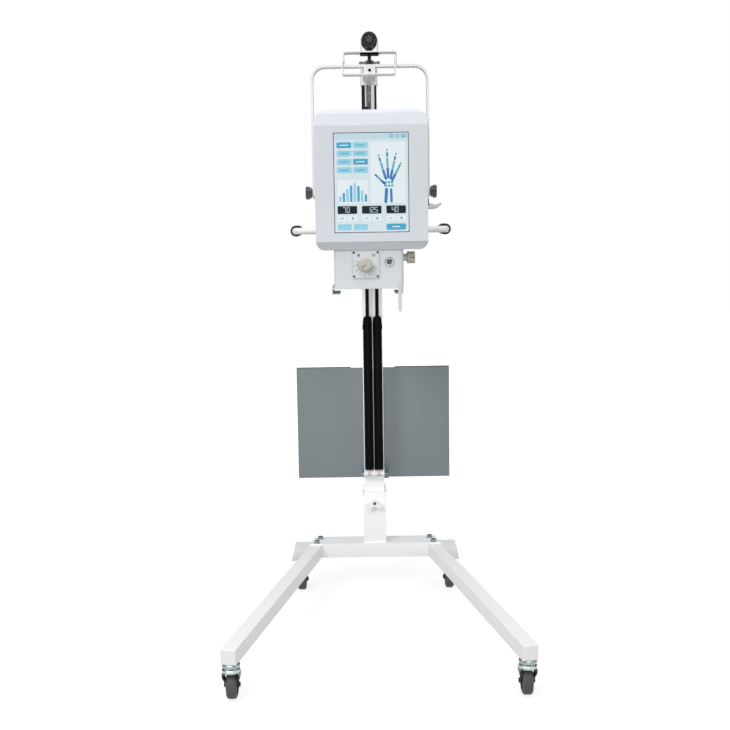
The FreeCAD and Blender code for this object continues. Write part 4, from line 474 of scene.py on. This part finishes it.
def inked(name, roughness, glow=0.0):
    """A finish whose base colour, and glow where it has one, come from the ink attribute."""
    made = finish(name, (0.8, 0.8, 0.8, 1), roughness, Emission_Strength=glow)
    tree = made.node_tree
    ink = add_node(tree, "ShaderNodeAttribute", attribute_name="ink")
    shader = tree.nodes["Principled BSDF"]
    tree.links.new(ink.outputs["Color"], shader.inputs["Base Color"])
    if glow:
        tree.links.new(ink.outputs["Color"], shader.inputs["Emission Color"])
    return made


screen_ink, printed_ink = inked("screen_ink", 0.16, 0.05), inked("printed_ink", 0.5)
print("inks ready:", screen_ink.name, printed_ink.name)

# %% [markdown]
# ## The picture on the screen
# The touch screen shows a pale page. It has a header, a row of tabs, a bar chart, a drawing of the
# bones of a hand, three dark readouts with their minus and plus keys, and a few large keys. The
# hand is a fan of round-ended bars: each finger is one direction, cut into bones by a list of
# distances from the wrist.

# %% Inks and the page
PAGE, HEADER, SHEET = (218, 233, 240), (200, 223, 233), (234, 243, 247)
TAB, KEY, TEAL, BLUE = (152, 214, 233), (76, 170, 208), (92, 190, 196), (70, 132, 196)
NIGHT, FIGURE, LINE = (36, 41, 48), (206, 234, 240), (120, 150, 166)
half_page, page_top = 90.6, 119.6
page = [(box_shape(-half_page, -page_top, half_page, page_top, 2), 1, PAGE),
        (box_shape(-half_page, 104, half_page, page_top, 2), 2, HEADER),
        (box_shape(-2, -50, 84, 98, 3), 2, SHEET), (box_shape(-84, -50, -8, 8, 3), 2, SHEET)]
for place, ink in enumerate((KEY, TEAL, BLUE)):
    x = 48 + 15 * place
    page += [(bar_shape((x, 112), (x + 3, 112), 4), 3, ink), (bar_shape((x, 112), (x + 3, 112), 2), 4, HEADER)]
for row in range(4):
    for column in range(2):
        x, z = -84 + 40 * column, 84 - 20 * row
        chosen = (row, column) in ((0, 0), (2, 1))
        page += [(box_shape(x, z, x + 36, z + 14, 2.5), 3, KEY if chosen else TAB),
                 (bar_shape((x + 8, z + 7), (x + 28, z + 7), 1.1), 4, SHEET if chosen else KEY)]
print("shapes on the page:", len(page))

# %% The hand and the chart
wrist = np.array([42.0, -12.0])
fingers = ((-46, 0.70, (16, 34, 52, 66)), (-17, 0.98, (20, 46, 66, 78, 86)), (-2, 1.06, (20, 46, 68, 81, 89)),
           (13, 1.0, (20, 45, 66, 78, 86)), (28, 0.86, (20, 44, 62, 72, 80)))
for lean, scale, joints in fingers:
    way = np.array([math.sin(math.radians(lean)), math.cos(math.radians(lean))]) * scale
    for place, (near, far) in enumerate(zip(joints[:-1], joints[1:])):
        page.append((bar_shape(wrist + way * (near + 3), wrist + way * (far - 2.5), 3.1 - 0.4 * place), 3,
                     TEAL if place % 2 else BLUE))
for place in range(6):
    spot = wrist + np.array([-8 + 8 * (place % 3), 4 + 8 * (place // 3)])
    page.append((bar_shape(spot, spot + [1.5, 0.5], 3), 3, TEAL))
page += [(bar_shape(wrist + [-5, -5], wrist + [-7, -34], 4), 3, BLUE),
         (bar_shape(wrist + [6, -5], wrist + [7, -34], 3), 3, BLUE)]
for place, height in enumerate((14, 22, 31, 40, 46, 38, 27, 18)):
    x = -80 + 9 * place
    page.append((box_shape(x, -46, x + 6, -46 + height, 1), 3, (TAB, KEY)[place % 2]))
print("shapes with hand and chart:", len(page))

# %% Readouts and keys
for place, number in enumerate(("70", "125", "40")):
    x = -84 + 60 * place
    page += [(box_shape(x, -75, x + 48, -56, 2), 3, NIGHT), *figure_shapes(number, x + 14, -71.5, 12, 4, FIGURE),
             (box_shape(x, -93, x + 22, -80, 2), 3, SHEET), (box_shape(x + 26, -93, x + 48, -80, 2), 3, SHEET),
             (bar_shape((x + 8, -86.5), (x + 14, -86.5), 0.9), 4, LINE),
             (bar_shape((x + 34, -86.5), (x + 40, -86.5), 0.9), 4, LINE),
             (bar_shape((x + 37, -89.5), (x + 37, -83.5), 0.9), 4, LINE)]
page += [(box_shape(-84, -115, -50, -100, 3), 3, TAB), (box_shape(-44, -115, -10, -100, 3), 3, TAB),
         (box_shape(36, -115, 84, -100, 3), 3, KEY), (bar_shape((52, -107.5), (68, -107.5), 1.4), 4, SHEET)]
screen_middle = (0, -96, 1154)
screen_picture = flat_mesh("screen_picture", page, screen_middle, screen_ink)
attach(screen_picture, "head")

# %% [markdown]
# ## Printed scale
# The plate behind the front knob is screwed on at its corners and printed with a scale. Its ticks
# are short bars on a circle, with plain numbers at the long ones, two bold numbers above the knob
# and a thin line round the rim. The knobs have a dark pointer line.

# %% Scale and pointers
INK, RIM, MARK = (58, 62, 66), (150, 154, 157), (40, 40, 38)
dial_x, dial_z, plate_y, rim = -16.5, 954.0, -82, 33.5
knob_face_y, side_face, side_rim = -102.3, (107.5, -45, 969), (0, -59.9, 969)
corners = [(-rim, -rim), (rim, -rim), (rim, rim), (-rim, rim)]
scale_shapes = [(bar_shape(start, end, 0.35), 1, RIM) for start, end in zip(corners, corners[1:] + corners[:1])]
for step in range(29):
    turn = math.radians(160 + 6.5 * step)
    way = np.array([math.cos(turn), math.sin(turn)])
    long = step % 4 == 0
    scale_shapes.append((bar_shape(way * 17.5, way * (23.5 if long else 21), 0.45 if long else 0.32), 1, INK))
    if long:
        spot = way * 27.5 - [1.2, 1.6]
        scale_shapes += figure_shapes(str(step // 4 + 1), spot[0], spot[1], 3.4, 1, INK)
for number, x in (("8", -20.0), ("11", 13.5)):
    for nudge in (0, 0.6, 1.2):
        scale_shapes += figure_shapes(number, x + nudge, 19.5, 6.4, 1, INK)
dial_marks = flat_mesh("dial_marks", scale_shapes, (dial_x, plate_y, dial_z), printed_ink)
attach(dial_marks, "head")
pointer = flat_mesh("front_pointer", [(bar_shape((-1.5, -1.2), (-10, -7.4), 0.8), 1, MARK)],
                    (dial_x, knob_face_y, dial_z), printed_ink)
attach(pointer, "width_knob")
side_pointer = flat_mesh("side_pointer", [(bar_shape((0, 2), (0, 11.5), 0.8), 1, MARK)], side_face,
                         printed_ink, right=(0, 1, 0))
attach(side_pointer, "length_knob")
rim_pointer = flat_mesh("rim_pointer", [(bar_shape((94, 0), (106.5, 0), 0.8), 1, MARK)], side_rim, printed_ink)
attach(rim_pointer, "length_knob")

# %% Screws of the plate
screw_form, inset = [(2.6, 0), (2.6, 0.6), (2.0, 1.3), (1.1, 1.3), (1.0, 0.6)], 29.5
dial_screws = grid_mesh("dial_screws", [lathe(screw_form, (dial_x + x, plate_y, dial_z + z), (0, -1, 0))
                                        for x in (-inset, inset) for z in (-inset, inset)],
                        closed_columns=True, capped=True, material=black_paint)
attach(dial_screws, "head")
print("scale shapes:", len(scale_shapes))

# %% [markdown]
# ## Small hardware
# The clamp's saddle is held by a black cap screw, and the head has a round cable socket on top.
# Both are turned shapes: a list of radii and heights, carried round an axis.

# %% Saddle screw and head socket
saddle_face, socket_foot = (0, -4, 1435), (-10, -52, 1331)
back_y, back_x, back_z = 109, (-121, 121), (1013, 1302)
saddle_screw = grid_mesh("saddle_screw", lathe([(3.4, 0), (3.4, 2.2), (3.0, 2.7), (1.8, 2.7), (1.7, 1.0)],
                                               saddle_face, (0, -1, 0)),
                         closed_columns=True, capped=True, material=black_paint)
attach(saddle_screw, "swing_arm")
head_socket = grid_mesh("head_socket", lathe([(7.5, 0), (7.5, 2), (6, 3), (6, 9), (5.4, 9.8), (4.2, 9.8), (4.2, 3)],
                                             socket_foot, (0, 0, 1)),
                        closed_columns=True, capped=True, material=black_plastic)
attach(head_socket, "head")
rear_screws = grid_mesh("rear_screws", [lathe(screw_form, (x, back_y, z), (0, 1, 0))
                                        for x in back_x for z in back_z],
                        closed_columns=True, capped=True, material=zinc)
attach(rear_screws, "head")
print("turned hardware:", saddle_screw.name, head_socket.name, rear_screws.name)

# %% [markdown]
# ## Ridged cap of the hand switch
# The front of the hand switch is turned with fine rings. Rings round an axis catch a lamp as two
# bright fans, one on each side, so they are made as real ridges: the height of the face is a
# cosine of the radius.

# %% Rings on the hand switch
switch_face, outer_ring, inner_ring, ring_pitch = (0, -9, 1509), 17.6, 8.6, 1.5
radii = np.linspace(outer_ring, inner_ring, 73)
ridges = np.stack([radii, 0.75 + 0.28 * np.cos(2 * math.pi * (radii - inner_ring) / ring_pitch)], axis=-1)
ring_form = lathe([(18.2, 0.0), *ridges, (8.4, 0.0)], switch_face, (0, -1, 0), around=96)
switch_rings = grid_mesh("switch_rings", ring_form, closed_columns=True, capped=True, material=black_plastic)
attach(switch_rings, "swing_arm")
print("ridges across the face:", round((outer_ring - inner_ring) / ring_pitch, 1))

# %% [markdown]
# ## Cradle on the cable hook
# A pale moulded cradle is pushed over the hook, so that a cable lies soft in it. Its section is a
# rounded box whose height and width change from one station along the hook to the next.

# %% Cradle
# each station: x, middle height, half height, half width
stations = np.array([(139.2, 1093.6, 4.4, 8.6), (141, 1093.6, 5.2, 9.4), (150, 1093.6, 5.3, 9.5),
                     (158, 1093.8, 5.1, 9.5), (164, 1095.2, 4.7, 9.3), (169, 1098.2, 4.1, 8.8),
                     (173, 1100.6, 3.3, 7.6), (175.6, 1102.0, 2.0, 5.6)])
hook_y, squareness = -29, 0.55
stations = np.stack([np.interp(np.linspace(0, 7, 36), np.arange(8), column) for column in stations.T], axis=-1)
turn = np.linspace(0, 2 * math.pi, 32, endpoint=False)[None, :]
soft_cos, soft_sin = (np.sign(wave) * np.abs(wave) ** squareness for wave in (np.cos(turn), np.sin(turn)))
cradle = np.stack([stations[:, :1] + 0 * turn, hook_y + stations[:, 3:] * soft_cos,
                   stations[:, 1:2] + stations[:, 2:3] * soft_sin], axis=-1)
hook_cradle = grid_mesh("hook_cradle", cradle * MM, closed_columns=True, capped=True, material=white_plastic)
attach(hook_cradle, "head")
print("cradle length in mm:", round(float(np.ptp(cradle[..., 0])), 1))

# %% [markdown]
# ## The arm's end
# The arm is a round tube whose front end is cut off at 45 degrees, so that the screw's bar can
# swing past it. A flat plate closes the cut. Seen along the tube it is round, so in its own plane
# it is an ellipse: the height and the depth of each point grow together.

# %% Plate over the mitred end
end_y, cut_z, radius, arm_z, plate_middle = 30.0, 1442.7, 17.2, 1452.5, 1455.5
turn = np.linspace(0, 2 * math.pi, 64, endpoint=False)
edge_z = np.clip(arm_z + radius * np.sin(turn), cut_z, None)
rims = []
for share, drop in ((0.001, 0.2), (1.0, 0.2), (1.0, 2.4), (0.001, 2.4)):
    z = plate_middle + (edge_z - plate_middle) * share
    rims.append(np.stack([radius * np.cos(turn) * share, end_y + (z - cut_z) + 0.7 * drop, z - 0.7 * drop], axis=-1))
arm_plate = grid_mesh("arm_end_plate", np.stack(rims)[:, ::-1] * MM, closed_columns=True, capped=True,
                      material=white_paint)
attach(arm_plate, "swing_arm")
print("plate over the arm's end, depth in mm:", round(float(np.ptp(np.stack(rims)[..., 1])), 1))

# %% [markdown]
# ## Welds
# The column stands on the crossbar in a fillet weld, and so do the block of the push bar and the
# arm's collar. A weld bead is a tube along the joint whose radius swells in small even waves, one
# for each dip of the welder's rod.


# %% Weld beads
def ripple(path, radius):
    """The bead's radius along its path: a mean plus a tenth of a cosine of the distance travelled."""
    path = np.asarray(path, float)
    travelled = np.concatenate([[0], np.cumsum(np.linalg.norm(np.diff(path, axis=0), axis=1))])
    return radius * (1 + 0.10 * np.cos(2 * math.pi * travelled / (1.3 * radius)))


def ring_path(half_x, half_y, corner, centre, steps=9, run=40):
    """A closed rectangle with round corners: four quarter circles whose ends are joined by evenly spaced points."""
    turn = np.linspace(0, math.pi / 2, steps) + np.arange(4)[:, None] * math.pi / 2
    centres = np.array([(1, 1), (-1, 1), (-1, -1), (1, -1)]) * [half_x - corner, half_y - corner]
    bends = centres[:, None] + corner * np.stack([np.cos(turn), np.sin(turn)], axis=-1)
    share = np.linspace(0, 1, run + 2)[1:-1, None]
    sides = bends[:, -1][:, None] * (1 - share) + np.roll(bends[:, 0], -1, 0)[:, None] * share
    loop = np.concatenate([bends, sides], axis=1).reshape(-1, 2)
    return np.column_stack([loop, np.zeros(len(loop))]) + centre


column_foot, push_block, arm_bead, collar_y = (0, 303, 128.6), [0, 331.0, 1035], 17.8, 279.6
foot_path = ring_path(33, 33, 1.5, column_foot)
column_weld = grid_mesh("column_weld", tube(foot_path, ripple(foot_path, 2.2), closed=True), closed_rows=True,
                        closed_columns=True, material=white_paint)
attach(column_weld, "base")
around = np.linspace(0, 2 * math.pi, 90, endpoint=False)
arm_path = np.stack([arm_bead * np.cos(around), collar_y + 0 * around, arm_z + arm_bead * np.sin(around)], axis=-1)
arm_weld = grid_mesh("arm_weld", tube(arm_path, ripple(arm_path, 1.6), closed=True), closed_rows=True,
                     closed_columns=True, material=white_paint)
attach(arm_weld, "swing_arm")
block_path = ring_path(22.4, 15.4, 2, (0, 0, 0))[:, [0, 2, 1]] + push_block
push_weld = grid_mesh("push_weld", tube(block_path, ripple(block_path, 1.8), closed=True), closed_rows=True,
                      closed_columns=True, material=white_paint)
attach(push_weld, "mast")
print("weld beads:", column_weld.name, arm_weld.name, push_weld.name)

# %% [markdown]
# ## Camera
# The photograph looks at the machine from straight in front, from about chest height, with a
# slightly long lens. The camera tips down a little and leans by a little less than a degree,
# which is why the mast leans in the picture.

# %% Camera at the photograph's place
stand_point, pan, tip, roll = (-22.0, -2725.5, 1060.7), 0.007, 7.738, -0.85
lens_data = bpy.data.cameras.new("camera")
lens_data.lens = 52.18
lens_data.sensor_width = 36
camera = bpy.data.objects.new("camera", lens_data)
scene.collection.objects.link(camera)
camera.matrix_world = (Matrix.Translation(Vector(stand_point) * MM)
                       @ Matrix.Rotation(math.radians(pan), 4, "Z")
                       @ Matrix.Rotation(math.radians(90 - tip), 4, "X")
                       @ Matrix.Rotation(math.radians(roll), 4, "Z"))
scene.camera = camera
print("camera at", tuple(round(value, 3) for value in camera.location))


# %% [markdown]
# ## Light and backdrop
# White pieces on a white ground only show their shape by small steps of grey. A key from the upper
# left front, a weaker fill from the right, a wide lamp above the front and an even world give those
# steps. A small narrow lamp near the floor brightens the mast below the head. The world is full
# white only to the camera, in reflections and through the clear window, and dimmer as a light on
# the paint. The floor gets paler with distance, where the lamps no longer reach it.


# %% Lamps, world and floor
def soft_lamp(name, place, aim, size, power):
    """A rectangular lamp at a place, with its face turned to the aim. Size in metres, power in watts."""
    data = bpy.data.lights.new(name, "AREA")
    data.shape = "RECTANGLE"
    data.size, data.size_y = size
    data.energy = power
    made = bpy.data.objects.new(name, data)
    scene.collection.objects.link(made)
    place, aim = Vector(place), Vector(aim)
    made.matrix_world = Matrix.Translation(place) @ (aim - place).to_track_quat("-Z", "Y").to_matrix().to_4x4()
    return made


soft_lamp("key", (-2.0, -2.6, 3.0), (0, 0, 0.9), (0.9, 0.9), 51)
soft_lamp("fill", (2.4, -2.0, 1.8), (0, 0, 0.9), (1.6, 1.6), 8)
soft_lamp("top", (0.0, -2.4, 5.6), (0, 0, 0.3), (3.0, 2.4), 60)
low_lamp = soft_lamp("low front", (-0.1, -3.0, 0.30), (0, 0.3, 0.53), (0.7, 0.4), 0.62)
low_lamp.data.spread = math.radians(24)

world = bpy.data.worlds.new("studio")
scene.world = world
world.use_nodes = True
sky = world.node_tree
backing = sky.nodes["Background"]
level = add_node(sky, "ShaderNodeMapRange")
level.inputs["To Min"].default_value = 0.68
level.inputs["To Max"].default_value = 1.0
sky.links.new(seen_directly(sky), level.inputs["Value"])
sky.links.new(level.outputs["Result"], backing.inputs["Strength"])
backing.inputs["Color"].default_value = (1, 1, 1, 1)

floor_paint = finish("floor_paint", (0.24, 0.24, 0.24, 1), 0.9, Emission_Color=(1, 1, 1, 1))
tree = floor_paint.node_tree
spot = add_node(tree, "ShaderNodeTexCoord")
reach = add_node(tree, "ShaderNodeVectorMath", operation="LENGTH")
far = add_node(tree, "ShaderNodeMapRange")
for socket, value in (("From Min", 0.8), ("From Max", 3.0), ("To Min", 0.80), ("To Max", 1.0)):
    far.inputs[socket].default_value = value
lift = add_node(tree, "ShaderNodeMath", operation="MULTIPLY")
tree.links.new(spot.outputs["Object"], reach.inputs[0])
tree.links.new(reach.outputs["Value"], far.inputs["Value"])
tree.links.new(far.outputs["Result"], lift.inputs[0])
tree.links.new(seen_directly(tree), lift.inputs[1])
tree.links.new(lift.outputs["Value"], tree.nodes["Principled BSDF"].inputs["Emission Strength"])
span = np.linspace(-9, 9, 13)
floor_points = np.stack(np.meshgrid(span, span, [0.0], indexing="ij"), axis=-1)[:, :, 0, :]
floor = grid_mesh("floor", floor_points[:, ::-1], material=floor_paint)

# %% [markdown]
# ## Black flags
# Chrome only looks like chrome when it has something dark to reflect. A photographer hangs black
# cloths round the machine, out of the picture, and leaves two slits for the bright lines on the
# post. They are parts of one tall round wall, seen by reflections alone.


# %% Flags for the chrome
def flag(name, start, end, cloth, radius=5.0):
    """A part of a round wall: the point at a compass angle is radius (sin a, -cos a), at heights from 0 to 4 m."""
    angle = np.radians(np.linspace(start, end, 25))[None, :]
    height = np.linspace(0.0, 4.0, 5)[:, None] + 0 * angle
    points = np.stack([radius * np.sin(angle) + 0 * height, -radius * np.cos(angle) + 0 * height, height], axis=-1)
    made = grid_mesh(name, points, material=cloth)
    made.visible_camera = made.visible_diffuse = made.visible_shadow = made.visible_transmission = False
    return made


black_cloth = finish("black_cloth", (0.04, 0.04, 0.042, 1), 0.9)
grey_cloth = finish("grey_cloth", (0.24, 0.24, 0.24, 1), 0.9)
flags = [flag("flag_front", -43.8, 62.7, grey_cloth), flag("flag_right", 92, 180, black_cloth),
         flag("flag_left", -180, -70, black_cloth)]
print("flags:", len(flags))
